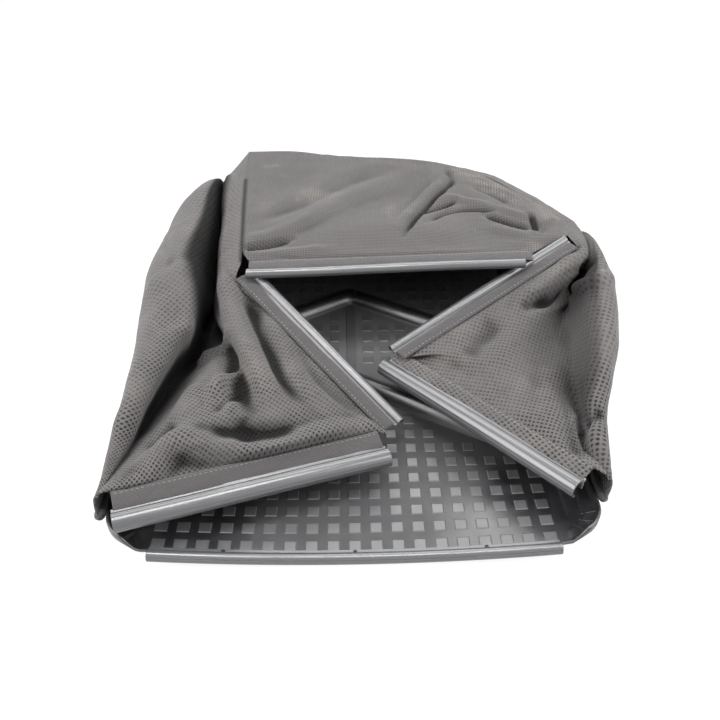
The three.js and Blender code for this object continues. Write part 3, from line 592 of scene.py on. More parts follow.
def makeFloorSquares():
    # one grid of tiles; those that a rib or the spine covers are left out
    lengths = {
        "Pitch": floorSquares["pitch"], "Size": floorSquares["size"],
        "Rise": floorSquares["rise"], "Taper": floorSquares["taper"], "First Row": floorSquares["firstRow"],
        "Rib Length": chevrons["length"], "Rear Apex": chevrons["apexes"][0], "Front Apex": chevrons["apexes"][1],
        "Floor": tray["wall"], "Dish": tray["dish"], "Dish X": tray["dishX"],
        "Dish End": tray["dishEnd"], "Tray Front": tray["front"],
    }
    tree, values, given = newTree("floorSquares", lengths, {"Rib Slope": chevrons["slope"]}, "squares")
    columns, rows = floorSquares["columns"] * 2 + 1, floorSquares["rows"]
    pitch, size = given["Pitch"], given["Size"]

    def calc(operation, first, second=0.0):
        return mathNode(tree, operation, first, second)

    def times(first, second):
        return calc("MULTIPLY", first, second)

    def less(first, second):
        return calc("SUBTRACT", first, second)

    def position():
        spot = addNode(tree, "GeometryNodeInputPosition").outputs[0]
        return addNode(tree, "ShaderNodeSeparateXYZ", {0: spot}).outputs

    inputs = {
        "Size X": times(pitch, columns - 1), "Vertices X": columns,
        "Size Y": times(pitch, rows - 1), "Vertices Y": rows,
    }
    grid = addNode(tree, "GeometryNodeMeshGrid", inputs).outputs["Mesh"]
    middleRow = calc("ADD", calc("ADD", given["First Row"], times(pitch, (rows - 1) / 2)), times(size, 0.5))
    place = addNode(tree, "ShaderNodeCombineXYZ", {"Y": middleRow, "Z": given["Floor"]}).outputs[0]
    moved = addNode(tree, "GeometryNodeTransform", {"Geometry": grid, "Translation": place}).outputs[0]
    where = position()
    aside, spread = calc("ABSOLUTE", where["X"]), times(size, 0.8)
    reach = calc("ADD", given["Rib Length"], spread)

    def onRib(apex):
        past = less(where["Y"], less(given[apex], times(given["Rib Slope"], aside)))
        return times(calc("GREATER_THAN", past, times(spread, -1)), calc("LESS_THAN", past, reach))

    onSpine = times(calc("LESS_THAN", aside, size), calc("GREATER_THAN", where["Y"], given["Front Apex"]))
    covered = calc("MAXIMUM", calc("MAXIMUM", onRib("Rear Apex"), onRib("Front Apex")), onSpine)
    inputs = {"Geometry": moved, "Selection": calc("GREATER_THAN", covered, 0.5)}
    kept = addNode(tree, "GeometryNodeDeleteGeometry", inputs).outputs[0]
    diagonal = 1 / math.sqrt(2)  # from a square's side to the radius of the cone with four sides
    inputs = {
        "Vertices": 4, "Radius Bottom": times(size, diagonal),
        "Radius Top": times(less(size, times(given["Taper"], 2)), diagonal), "Depth": given["Rise"],
    }
    tile = addNode(tree, "GeometryNodeMeshCone", inputs).outputs["Mesh"]
    real = placeCopies(tree, {"Points": kept, "Instance": tile, "Rotation": (0, 0, math.pi / 4)})
    at = position()
    share = calc("DIVIDE", less(given["Dish End"], at["Y"]), less(given["Dish End"], given["Tray Front"]))
    fade = calc("MINIMUM", calc("MAXIMUM", share, 0), 1)
    bow = calc("POWER", calc("ABSOLUTE", calc("DIVIDE", at["X"], given["Dish X"])), 2.0)
    lift = addNode(tree, "ShaderNodeCombineXYZ", {"Z": times(times(bow, fade), given["Dish"])}).outputs[0]
    lifted = addNode(tree, "GeometryNodeSetPosition", {"Geometry": real, "Offset": lift}).outputs[0]
    flat = addNode(tree, "GeometryNodeSetShadeSmooth", {"Geometry": lifted, "Shade Smooth": False}).outputs[0]
    endTree(tree, flat, given["Material"])
    treePiece("floorSquares", tree, values, ["tray"])


def makeChevrons():
    sectionSteps, armSteps, apexSteps = chevrons["steps"]
    section = splineLine([(*point, 0) for point in chevrons["section"]], sectionSteps)[:, :2]
    near, far = chevrons["apexStops"]
    arm = np.linspace(far, chevrons["span"], armSteps)
    stops = np.concatenate([-np.linspace(chevrons["span"], far, armSteps), np.linspace(-near, near, apexSteps), arm])
    for name, apex in zip(("rearRib", "frontRib"), chevrons["apexes"]):
        rings = []
        for x in stops:
            end = np.clip((chevrons["span"] - abs(x)) / chevrons["endFade"], chevrons["endHeight"], 1)
            end = end ** chevrons["endCurve"]
            bend = math.sqrt(x * x + chevrons["apexRadius"] ** 2) - chevrons["apexRadius"]
            y = apex - chevrons["slope"] * bend + section[:, 0] * chevrons["length"]
            height = tray["wall"] - chevrons["sink"] + section[:, 1] * chevrons["height"] * end
            ring = np.column_stack([np.full(len(y), x), y, height + dishLift(x, y)])
            rings.append(np.vstack([ring, ring[[-1, 0]] - (0, 0, chevrons["foot"])]))
        count = len(rings[0])
        faces = [face[::-1] for face in ringFaces(len(rings), count)] + ringCaps(len(rings), count)
        newPiece(name, np.vstack(rings), faces, "tray", ["tray"])
    half, start, end = spine["width"] / 2, spine["start"], spine["end"]
    corners = [(x, y, tray["wall"] + rise) for rise in (-spine["foot"], spine["rise"])
               for x, y in ((-half, start), (half, start), (half, end), (-half, end))]
    boxPiece("floorSpine", [(corners, False)], "squares", spine["bevel"])


cornerWebs = {
    "angles": (12, 38, 64), "width": 2, "inner": 15, "outer": 29, "root": 6, "innerTop": 8.4, "outerTop": 15,
    "bevel": 0.4,
}


def makeCornerWebs():
    centreX, centreY = tray["width"] / 2 - tray["frontCorner"], tray["front"] + tray["frontCorner"]
    inner, outer, root = (cornerWebs[key] for key in ("inner", "outer", "root"))
    sides = [(inner, root), (outer, root), (outer, cornerWebs["outerTop"]), (inner, cornerWebs["innerTop"])]
    boxes = []
    for side in (-1, 1):
        for degrees in cornerWebs["angles"]:
            cos, sin = math.cos(math.radians(-degrees)), math.sin(math.radians(-degrees))
            corners = []
            for half in (-cornerWebs["width"] / 2, cornerWebs["width"] / 2):
                for reach, height in sides:
                    x = side * (centreX + reach * cos - half * sin)
                    y = centreY + reach * sin + half * cos
                    corners.append((x, y, height + dishLift(x, y)))
            boxes.append((corners, side < 0))
    boxPiece("cornerWebs", boxes, "tray", cornerWebs["bevel"])


makeTrayShell()
makeFloorSquares()
makeChevrons()
makeCornerWebs()
print("tray made")

# Clips and the front rail

clipForms = {
    "thick": {"radius": 8.2, "wall": 1.9, "mouth": 9, "grooves": ((62, 5.0, 0.3), (131, 5.0, -0.12), (146, 6.0, 0.28))},
    "thin": {"radius": 4.8, "wall": 1.3, "mouth": 5, "grooves": ((58, 8.0, 0.25),)},
}
clipFlange = {"width": 3.2, "thickness": 1.5, "level": 0}
# each clip: its form, its ends, the way towards its cloth, and the width of its hem
clips = {place: dict(zip(("form", "ends", "cloth", "hem"), values)) for place, values in {
    "left_lower": ("thick", ((-191, -254, 44), (31, -180, 33)), (-0.3, 0.95, 0.25), 15),
    "left_upper": ("thin", ((-101, 17.2, 96.4), (44, -133, 28)), (-0.72, -0.69, 0.05), 12),
    "right_lower": ("thick", ((181, -233, 51), (31, -64, 36)), (0.73, 0.68, 0.25), 12),
    "right_upper": ("thin", ((39, -50, 46), (227, 57, 104)), (0.5, -0.85, 0.1), 12),
    "top": ("thin", ((-104, 3, 102), (177, 16.8, 102)), (0, 1, 0), 13),
}.items()}
rail = {
    "length": 335, "radius": 4.9, "wall": 1.4, "mouth": 5, "grooves": ((150, 9.0, 0.55),), "gap": 0.3, "steps": 90,
}
railFlange = {"width": 3.8, "thickness": 1.6, "level": -1.2}
channel = {"steps": (6, 72, 40), "clipSteps": 48, "sway": (0.35, 37), "bevel": (0.22, 50)}


def channelSection(form, flange):
    # a C section: round back, mouth down, flange towards +X
    radius, inside = form["radius"], form["radius"] - form["wall"]
    opening = math.asin(form["mouth"] / 2 / (radius - form["wall"] / 2))
    mouthStart, mouthEnd = -math.pi / 2 + opening, 3 * math.pi / 2 - opening
    under, over = (flange["level"] + side * flange["thickness"] / 2 for side in (-1, 1))
    shortSteps, backSteps, insideSteps = channel["steps"]
    points = []

    def arc(size, start, end, steps, grooves=()):
        for angle in np.linspace(start, end, steps):
            cut = size
            for middle, spread, depth in grooves:
                cut -= depth * math.exp(-((math.degrees(angle) - middle) / spread * 2) ** 2)
            points.append((cut * math.cos(angle), cut * math.sin(angle)))

    arc(radius, mouthStart, math.asin(under / radius), shortSteps)
    points.extend([(radius + flange["width"], under), (radius + flange["width"], over)])
    arc(radius, math.asin(over / radius), mouthEnd, backSteps, form["grooves"])
    arc(inside, mouthEnd, mouthStart, insideSteps)
    return np.array(points)


def clipEnds(clip):
    return (np.array(point, float) for point in clip["ends"])


def clipAxes(clip):
    start, end = clipEnds(clip)
    along = (end - start) / np.linalg.norm(end - start)
    across = np.array(clip["cloth"], float)
    across -= along * (across @ along)
    across /= np.linalg.norm(across)
    up = np.cross(along, across)
    if up[2] < 0:
        start, end, along, up = end, start, -along, -up
    return start, along, across, up, np.linalg.norm(end - start)


def sweptChannel(name, section, centres, across, up, node):
    rings = [centre + section[:, :1] * across + section[:, 1:] * up for centre in centres]
    faces = ringFaces(len(rings), len(section)) + ringCaps(len(rings), len(section))
    around = lengthsAlong(section) * mm
    uvs = [(distance, share) for distance in lengthsAlong(centres) * mm for share in around]
    piece = newPiece(name, np.vstack(rings), faces, "clip", [node], True, "along", uvs)
    bevelEdges(piece, *channel["bevel"])


def makeClips():
    size, stretch = channel["sway"]  # the real strips aren't dead straight
    for place, clip in clips.items():
        start, along, across, up, length = clipAxes(clip)
        section = channelSection(clipForms[clip["form"]], clipFlange)
        centres = np.array([start + along * stop + up * (size * math.sin(stop / stretch + len(place)))
                            for stop in np.linspace(0, length, channel["clipSteps"])])
        sweptChannel(f"{place}_clip_finish", section, centres, across, up, f"{place}_clip")


def makeRail():
    level = tray["wall"] + rail["gap"] + railFlange["thickness"] / 2 - railFlange["level"]
    y = tray["front"] - rail["gap"] - rail["radius"]
    stops = np.linspace(-rail["length"] / 2, rail["length"] / 2, rail["steps"])
    centres = np.array([(x, y, level + dishLift(x, tray["front"])) for x in stops])
    across, up = np.array([0, 1, 0]), np.array([0, 0, 1])
    sweptChannel("front_rail_finish", channelSection(rail, railFlange), centres, across, up, "front_clip_rail")


makeClips()
makeRail()
for place in ("left", "middle", "right"):
    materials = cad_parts[f"front_rivet_{place}"].data.materials
    materials.clear()
    materials.append(finishes["rivet"])
print("clips made")

# Cloth

rimRoll = {
    "radius": 4.6, "drop": 2, "ends": (-238, -227), "gap": 0.3, "sides": 20, "step": 2.2,
    "sideSteps": 60, "backSteps": 50, "closing": 3, "least": 0.05,
    "uneven": (0.1, 0.12), "ripple": (0.05, 5.5),  # shares of the radius, with the noise's scale and the wave's length
}


def rollPath():
    outline = trayOutline(-(rimRoll["radius"] + rimRoll["gap"]))
    corner, steps = tray["cornerSteps"] + 1, rimRoll["sideSteps"]
    rightRear, leftRear = outline[:corner], outline[corner:2 * corner]
    side = leftRear[-1][0]
    left = [(side, y) for y in np.linspace(rimRoll["ends"][0], leftRear[-1][1], steps)[:-1]]
    right = [(-side, y) for y in np.linspace(rightRear[0][1], rimRoll["ends"][1], steps)[1:]]
    back = np.linspace(leftRear[0], rightRear[-1], rimRoll["backSteps"])[1:-1]
    line = np.array(left + leftRear[::-1].tolist() + back.tolist() + rightRear[::-1].tolist() + right)
    level = tray["wall"] + tray["rim"] - rimRoll["drop"]
    return np.column_stack([line, level + dishLift(line[:, 0], line[:, 1])])


rimPath = rollPath()


def onRim(x, y):
    return rimPath[np.argmin(np.hypot(rimPath[:, 0] - x, rimPath[:, 1] - y))]


def hemEdge(place, share):
    clip = clips[place]
    start, end = clipEnds(clip)
    reach = clipForms[clip["form"]]["radius"] + clipFlange["width"] + rimRoll["gap"] + clip["hem"]
    return start + (end - start) * share + clipAxes(clip)[2] * reach


# Seams and crests that two panels share
rearLeftSeam = [(-169, 238, 49), (-160, 234, 74), (-151, 230, 88), (-140, 234, 98), (-121, 242, 117)]
rearCrest = [(-66, 246, 115), (-10, 243, 109), (50, 234, 111), (106, 217, 113), (158, 194, 108)]
shoulder = [(204, 138, 106), (239, 89, 105)]
rearRightSeam = [(232, 126, 49), (246, 109, 79), (248, 100, 96), (245, 94, 103)]
gussetSeam = [(-111, 25, 103), (-113, 62, 107), (-117, 122, 109), (-120, 180, 112)]
rightGusset = (230, 60, 107)

# Each station: the rim, the outer side, the top of the bulge, the crease, the inner flap, and the end
leftPanel = {
    "stations": [
        ((-209, -236), (-212, -232, 38), (-211, -230, 45), (-208, -229, 49), (-204, -229, 51), ("left_lower", 0.01)),
        ((-209, -190), (-211, -193, 45), (-203, -189, 56), (-193, -181, 46), (-175, -193, 53), ("left_lower", 0.24)),
        ((-209, -155), (-209, -162, 53), (-197, -161, 69), (-183, -147, 46), (-148, -176, 61), ("left_lower", 0.5)),
        ((-209, -120), (-207, -124, 60), (-193, -124, 78), (-172, -110, 50), (-115, -151, 67), ("left_lower", 0.78)),
        ((-209, -85), (-206, -88, 65), (-192, -90, 84), (-160, -68, 54), (-86, -122, 70), ("left_lower", 0.99)),
        ((-209, -70), (-206, -72, 68), (-191, -74, 87), (-152, -52, 56), (-76, -112, 71), (31, -153, 34)),
        ((-209, -50), (-207, -52, 71), (-190, -54, 90), (-146, -34, 56), (-82, -94, 72), ("left_upper", 0.94)),
        ((-209, -10), (-209, -12, 77), (-191, -14, 97), (-142, 8, 58), (-106, -50, 79), ("left_upper", 0.6)),
        ((-209, 30), (-211, 28, 81), (-190, 24, 101), (-143, 54, 58), (-120, -2, 89), ("left_upper", 0.25)),
        ((-209, 60), (-210, 56, 83), (-186, 52, 104), (-143, 90, 60), (-129, 36, 95), ("left_upper", 0.01)),
        ((-209, 84), (-208, 79, 84), (-181, 76, 105), (-143, 110, 62), (-130, 60, 100), gussetSeam[0]),
        ((-209, 116), (-204, 112, 84), (-176, 104, 106), (-144, 136, 68), (-130, 90, 104), gussetSeam[1]),
        ((-209, 172), (-198, 166, 84), (-172, 160, 107), (-148, 176, 82), (-132, 142, 107), gussetSeam[2]),
        ((-200, 212), (-184, 208, 80), (-164, 198, 103), (-149, 206, 84), (-133, 194, 107), gussetSeam[3]),
        ((-176, 238), *rearLeftSeam[:4], rearLeftSeam[4]),
    ],
    "depths": (0, 5, 14, 22, 28, 32, 36, 40, 44, 46, 46, 44, 40, 26, 0),
    # each pair: at the soft stations in front, and at the steep ones behind
    "knee": ((0.9, 0.9, 0.14), (0.64, 0.64, 0.1)), "wall": ((0.4, 0.5, 0.45), (0.2, 0.3, 0.9)), "under": (15, 8),
    "steepFrom": (5, 8), "rows": 190, "columns": 150, "wrinkle": 1.0, "flat": (0.46, 0.34), "area": 0.115,
    # folds as lines in the photograph's pixels, with half width and height in mm
    "folds": [
        (((226, 262), (230, 300), (240, 330), (252, 360), (266, 392)), 12, 8),
        (((214, 320), (224, 350), (236, 374), (246, 398), (258, 424)), 11, -14),
        (((243, 284), (258, 320), (272, 352), (290, 383), (312, 405)), 10, -7),
        (((262, 306), (282, 350), (306, 384), (336, 412)), 11, 5),
        (((196, 372), (212, 352), (229, 334)), 7, 8),
        (((208, 396), (222, 378), (238, 361)), 7, 8),
        (((212, 412), (226, 398), (244, 384)), 6, -5),
        (((128, 494), (150, 468), (175, 447), (211, 447), (265, 449), (313, 440), (372, 431)), 12, 13),
        (((205, 432), (236, 436), (262, 438), (300, 426)), 10, -9),
        (((238, 412), (246, 430), (252, 446)), 8, -6),
        (((180, 424), (188, 402), (200, 384)), 12, 6),
        (((143, 452), (160, 436), (178, 420)), 9, -4),
        (((147, 293), (168, 276), (192, 262)), 12, 4),
        (((150, 330), (170, 320), (186, 300)), 14, -4),
        (((118, 440), (130, 400), (146, 352)), 12, 3),
        (((160, 240), (170, 262), (166, 290)), 10, -3),
    ],
}
rightPanel = {
    "stations": [
        ((209, -225), (214, -222, 39), (213, -220, 46), (209, -220, 51), (205, -220, 54), ("right_lower", 0.01)),
        ((209, -190), (219, -194, 45), (211, -198, 57), (199, -189, 50), (187, -193, 55), ("right_lower", 0.16)),
        ((209, -150), (226, -152, 49), (220, -157, 66), (204, -147, 55), (174, -157, 56), ("right_lower", 0.4)),
        ((209, -110), (238, -118, 60), (229, -126, 79), (204, -118, 58), (156, -120, 56), ("right_lower", 0.7)),
        ((209, -74), (252, -78, 68), (239, -90, 91), (207, -84, 66), (124, -84, 58), ("right_lower", 0.99)),
        ((209, -54), (257, -58, 71), (244, -70, 95), (209, -64, 70), (118, -70, 59), (50, -61, 44)),
        ((209, -30), (260, -38, 74), (248, -50, 99), (212, -42, 74), (132, -54, 62), ("right_upper", 0.08)),
        ((209, 5), (264, -8, 78), (253, -20, 103), (218, -14, 81), (170, -30, 74), ("right_upper", 0.4)),
        ((209, 50), (264, 34, 81), (257, 20, 105), (238, 18, 88), (208, 4, 90), ("right_upper", 0.75)),
        ((209, 90), (259, 74, 83), (256, 54, 107), (249, 44, 96), (243, 34, 104), ("right_upper", 0.99)),
        ((209, 112), (253, 98, 76), (253, 84, 97), (249, 74, 102), (243, 64, 106), rightGusset),
        ((209, 134), *rearRightSeam, shoulder[1]),
    ],
    "depths": (0, 4, 8, 8, 6, 6, 8, 12, 12, 0, 0, 0),
    "knee": ((0.6, 0.6, 0.1), (0.5, 0.5, 0.1)), "wall": ((0.2, 0.5, 0.5), (0.2, 0.5, 0.6)), "under": (0, 0),
    "steepFrom": (1, 3), "rows": 180, "columns": 130, "wrinkle": 1.0, "flat": (0.4, 0.28), "area": 0.08,
    "folds": [
        (((584, 254), (570, 263), (554, 276), (536, 291), (518, 304)), 7, 8),
        (((592, 262), (580, 278), (558, 295), (530, 307)), 8, -15),
        (((612, 277), (593, 284), (571, 292), (548, 307)), 8, 8),
        (((500, 318), (482, 338), (462, 360)), 12, -4),
        (((530, 322), (512, 345), (498, 372)), 14, 4),
        (((560, 330), (545, 360), (535, 395)), 14, -3),
        (((562, 380), (570, 410), (578, 440), (586, 472)), 11, -6),
        (((598, 470), (592, 430), (590, 390), (596, 350)), 12, 4),
        (((604, 410), (594, 418), (584, 430)), 9, -5),
        (((588, 300), (600, 320), (606, 350)), 12, 3),
    ],
}
topPanel = {
    "rows": 130, "columns": 190, "wrinkle": 0.6, "flat": (0.38, 0.24), "area": None,
    # pale dust: lines in the photograph's pixels, with half width in mm and strength
    "dust": [
        (((472, 187), (492, 192), (519, 204)), 4, 0.9),
        (((466, 180), (486, 184), (505, 190)), 3, 0.6),
        (((440, 168), (480, 178), (515, 192), (550, 214), (578, 234)), 15, 0.65),
        (((262, 166), (270, 167), (281, 165)), 3, 0.6),
        (((360, 160), (390, 163), (425, 168)), 6, 0.25),
        (((380, 200), (420, 206), (470, 220)), 20, 0.15),
    ],
    "folds": [
        (((233, 249), (250, 248), (270, 245), (292, 239)), 5, -9),
        (((236, 240), (262, 238), (290, 230), (320, 214)), 9, 4),
        (((238, 256), (262, 255), (290, 252), (330, 248)), 6, 3),
        (((262, 258), (330, 257), (420, 255), (520, 252)), 3.5, -2.4),
        (((250, 236), (290, 222), (315, 212), (356, 194), (404, 176)), 15, 3.5),
        (((254, 224), (300, 204), (350, 181), (390, 164)), 14, -2.5),
        (((404, 236), (410, 226), (422, 212), (436, 198), (453, 181)), 3.6, -6),
        (((400, 226), (412, 212), (428, 196), (446, 178)), 7, 4),
        (((420, 214), (434, 209), (446, 205), (456, 201)), 3.6, -7),
        (((428, 222), (442, 214), (458, 211), (478, 210), (500, 211)), 4, -4.5),
        (((432, 206), (448, 198), (466, 202), (490, 205)), 6, 3.5),
        (((484, 214), (500, 219), (514, 224), (532, 228)), 4.5, -8),
        (((488, 226), (506, 231), (530, 236)), 6, 2.5),
        (((494, 208), (512, 213), (532, 219)), 6, 3.5),
        (((466, 176), (486, 184), (506, 194), (524, 206)), 6, 4),
        (((470, 186), (490, 194), (512, 205)), 6, -3),
        (((446, 168), (451, 178), (452, 188)), 6, -3),
        (((530, 214), (536, 224), (541, 232)), 4, -9),
        (((538, 232), (546, 225), (556, 219)), 5, 5),
    ],
}
rearPanel = {"rows": 110, "columns": 200, "wrinkle": 1.4, "flat": (0.45, 0.12), "area": None, "folds": []}
clothForm = {
    "thickness": 0.9, "hemDrop": 1.4,  # a panel's edge lies this far under its hem
    "fullDepth": 20, "innerRise": (0, 0, 1.5),
    "topHem": (0.01, 0.25, 0.5, 0.75, 0.97), "topHemDrop": 0.84, "rearSteps": 20,
    "calmEdge": 0.03,  # the folds fade out in this share of a panel along its edges
    "topLevel": 60,  # what lies higher shows which way is out
    # noise that is added as fine wrinkles: height, and scale
    "wrinkles": ((1.3, 0.021), (0.6, 0.055), (0.22, 0.14)),
}
foldForm = {"hiddenGap": 30, "steps": 24, "fade": 0.22, "spread": 1.6, "endHeight": 0.25}
# sizes of the painted shade: in the folds, along the seams and along the long crease
paintedShadeSizes = {
    "spans": ((5, 3.2), (12, 9)), "seam": 0.9, "seamWidth": 4.0,
    "crease": ((3.25, 2.4), (5.0, 5.8)), "creaseSoft": (0.4, 0.9), "creaseFull": 14, "stationSteps": 8,
}


def stationPoints(station, panel, steep, depth):
    # the crease is drawn deeper than the solid's, and the flap's edge stands steeper towards the rear
    rim, side, top, crease, flap, end = station
    side, top, crease, flap = (np.array(point, float) for point in (side, top, crease, flap))
    finish = np.array(end, float) if not isinstance(end[0], str) else hemEdge(*end) - (0, 0, clothForm["hemDrop"])
    if station is panel["stations"][-1]:
        # the last station is the seam with the rear panel, so it keeps that panel's plain curve
        return splineAt([onRim(*rim), side, top, crease, flap, finish], (0, 1, 2, 2.5, 3, 3.5, 4, 4.5, 5))
    knee = top + (crease - top) * between(*panel["knee"], steep)
    wall = crease + (flap - crease) * between(*panel["wall"], steep)
    under = between(*panel["under"], steep) * min(depth / clothForm["fullDepth"], 1)
    inner = flap + (finish - flap) * 0.5 + clothForm["innerRise"]
    return [onRim(*rim), side, top, knee, crease - (under, 0, depth), wall, flap, inner, finish]


def sideStations(panel):
    first, last = panel["steepFrom"]
    steps = np.clip((np.arange(len(panel["stations"])) - first) / (last - first), 0, 1)
    return [stationPoints(station, panel, steep, depth)
            for station, steep, depth in zip(panel["stations"], steps, panel["depths"])]


rearEdge = [rearLeftSeam[4], *rearCrest, *shoulder]


def topStations():
    return [
        [*(hemEdge("top", share) - (0, 0, clothForm["topHemDrop"]) for share in clothForm["topHem"]), (190, 43, 96)],
        [(-112, 42, 104.6), (-62, 47, 102), (-8, 50, 103), (60, 50, 103), (135, 49, 101), (216, 55, 103)],
        [gussetSeam[1], (-64, 72, 103), (-10, 78, 107), (70, 76, 108), (145, 72, 103), rightGusset],
        [gussetSeam[2], (-66, 132, 107), (-10, 138, 107), (66, 134, 104), (140, 122, 108), shoulder[1]],
        [gussetSeam[3], (-68, 186, 108), (-8, 194, 109), (62, 184, 105), (130, 168, 110), shoulder[0]],
        splineAt(rearEdge, np.linspace(0, len(rearCrest), clothForm["rearSteps"] + 1)),
    ]


def rearStations():
    bottom = ((-176, 238), (-80, 254), (-10, 254), (58, 254), (118, 254), (172, 242), (209, 190), (209, 134))
    middles = (
        ((-78, 258, 49), (-10, 258, 49), (57, 256, 49), (117, 251, 49), (177, 234, 49), (219, 184, 49)),
        ((-72, 256, 79), (-10, 256, 79), (56, 250, 79), (114, 239, 79), (175, 217, 79), (226, 166, 79)),
        ((-70, 253, 98), (-10, 252, 98), (54, 245, 98), (111, 231, 98), (171, 209, 97), (220, 154, 96)),
        ((-68, 250, 106), (-10, 248, 106), (52, 240, 106), (108, 225, 106), (167, 204, 104), (214, 148, 102)),
    )
    lines = [[left, *middle, right] for left, middle, right in zip(rearLeftSeam, middles, rearRightSeam)]
    return [rearEdge, *reversed(lines), [onRim(*place) for place in bottom]]


def clothGrid(stations, rows, columns):
    lines = np.array([splineLine(points, columns) for points in stations])
    return np.stack([splineLine(lines[:, column], rows) for column in range(columns + 1)], axis=1)


def gridNormals(grid):
    normals = np.cross(np.gradient(grid, axis=1), np.gradient(grid, axis=0))
    return normals / np.maximum(np.linalg.norm(normals, axis=2, keepdims=True), 1e-9)


def lineDistance(points, line):
    # distance of every point from a line, and how far along the line its foot lies, from 0 to 1
    best = np.full(points.shape[:-1], 1e9)
    share = np.zeros(points.shape[:-1])
    lengths = np.linalg.norm(np.diff(line, axis=0), axis=1)
    total, passed = lengths.sum(), 0.0
    for start, end, length in zip(line, line[1:], lengths):
        if length < 1e-6:
            continue
        way = (end - start) / length
        foot = np.clip((points - start) @ way, 0, length)
        gap = np.linalg.norm(points - start - foot[..., None] * way, axis=-1)
        nearer = gap < best
        best = np.where(nearer, gap, best)
        share = np.where(nearer, (passed + foot) / total, share)
        passed += length
    return best, share


def foldCloth(grid, normals, folds):
    # each fold lifts or sinks the cloth along a line that the photograph shows
    pixels = toFrame(grid)
    facing = ((np.array(cameraView["place"]) - grid) * normals).sum(axis=2) > 0
    lift = np.zeros(grid.shape[:2])
    for path, halfWidth, height in folds:
        line = []
        for pixel in path:
            gap = np.linalg.norm(pixels - pixel, axis=2) + np.where(facing, 0, foldForm["hiddenGap"])
            line.append(grid[np.unravel_index(np.argmin(gap), gap.shape)])
        gap, share = lineDistance(grid, splineLine(line, foldForm["steps"]))
        ends = eased(np.clip(np.minimum(share, 1 - share) / foldForm["fade"], 0, 1))
        side = eased(np.clip(1 - gap / (halfWidth * foldForm["spread"]), 0, 1))
        lift += height * between(foldForm["endHeight"], 1, ends) * side
    return lift


def wrinkleCloth(grid):
    lift = [sum(height * noise.noise(Vector(point) * scale) for height, scale in clothForm["wrinkles"])
            for point in grid.reshape(-1, 3)]
    return np.array(lift).reshape(grid.shape[:2])


def gridQuads(rows, columns):
    return [(corner, corner + 1, corner + columns + 1, corner + columns)
            for row in range(rows - 1) for corner in range(row * columns, (row + 1) * columns - 1)]


def clothMap(name, grid):
    # lays the cloth flat, in metres, with its second direction up
    rows, columns = grid.shape[:2]
    mesh = meshFrom(name, grid.reshape(-1, 3), gridQuads(rows, columns))
    mesh.uv_layers.new(name="cloth")
    sheet = linkObject(name, mesh)
    bpy.context.view_layer.objects.active = sheet
    sheet.select_set(True)
    bpy.ops.object.mode_set(mode="EDIT")
    bpy.ops.mesh.select_all(action="SELECT")
    bpy.ops.uv.unwrap(method="CONFORMAL", margin=0)
    bpy.ops.object.mode_set(mode="OBJECT")
    flat = np.zeros(len(mesh.loops) * 2)
    mesh.uv_layers["cloth"].data.foreach_get("uv", flat)
    uvs = np.zeros((rows * columns, 2))
    uvs[loopCorners(mesh)] = flat.reshape(-1, 2)
    bpy.data.objects.remove(sheet)
    uvs = uvs.reshape(rows, columns, 2)
    solid = np.linalg.norm(np.diff(grid, axis=1), axis=2).sum() * mm
    across = np.diff(uvs, axis=1)
    uvs *= solid / np.linalg.norm(across, axis=2).sum()
    mean = across.reshape(-1, 2).sum(axis=0)
    turn = math.pi / 2 - math.atan2(mean[1], mean[0])
    cos, sin = math.cos(turn), math.sin(turn)
    return uvs @ np.array([[cos, sin], [-sin, cos]])


def closedSheet(name, outer, inner, uvs, finish, slot, node, flip=False):
    # two layers of cloth and the wall round their edge; flip is for a grid whose rows run the other way
    rows, columns = outer.shape[:2]
    start = rows * columns
    faces = []
    for quad in gridQuads(rows, columns):
        quad = (quad[0], *quad[:0:-1]) if flip else quad
        faces += [quad, tuple(start + point for point in reversed(quad))]
    numbers = np.arange(start).reshape(rows, columns)
    edge = [*numbers[0], *numbers[1:, -1], *numbers[-1, -2::-1], *numbers[-2:0:-1, 0]]
    for here, beside in zip(edge, edge[1:] + edge[:1]):
        here, beside = (beside, here) if flip else (here, beside)
        faces.append((beside, here, start + here, start + beside))
    vertices = np.vstack([outer.reshape(-1, 3), inner.reshape(-1, 3)])
    maps = np.vstack([uvs.reshape(-1, 2)] * 2)
    return newPiece(name, vertices, faces, finish, [node], True, "cloth", maps)


def blurGrid(grid, reach):
    # running mean over a square of cells, the edge rows repeated
    for axis in (0, 1):
        pads = [(0, 0)] * 3
        pads[axis] = (reach + 1, reach)
        total = np.cumsum(np.pad(grid, pads, mode="edge"), axis=axis)
        count, last = 2 * reach + 1, total.shape[axis]
        grid = (np.take(total, range(count, last), axis=axis) - np.take(total, range(last - count), axis=axis)) / count
    return grid


def paintedCreaseShade(panel, rows, columns):
    # painted shade along the long crease under the bulge: from its outer slope to its wall, the deeper the darker
    depths = np.array(panel["depths"])
    where, across = rows * (len(depths) - 1), columns * paintedShadeSizes["stationSteps"]
    strength = np.interp(where, np.arange(len(depths)), np.clip(depths / paintedShadeSizes["creaseFull"], 0, 1))
    first, last = panel["steepFrom"]
    steep = np.clip((where - first) / (last - first), 0, 1)
    start, end = (between(*pair, steep) for pair in paintedShadeSizes["crease"])
    rise = np.clip((across - start) / paintedShadeSizes["creaseSoft"][0], 0, 1)
    fall = np.clip((end - across) / paintedShadeSizes["creaseSoft"][1], 0, 1)
    return strength * eased(rise) * eased(fall)


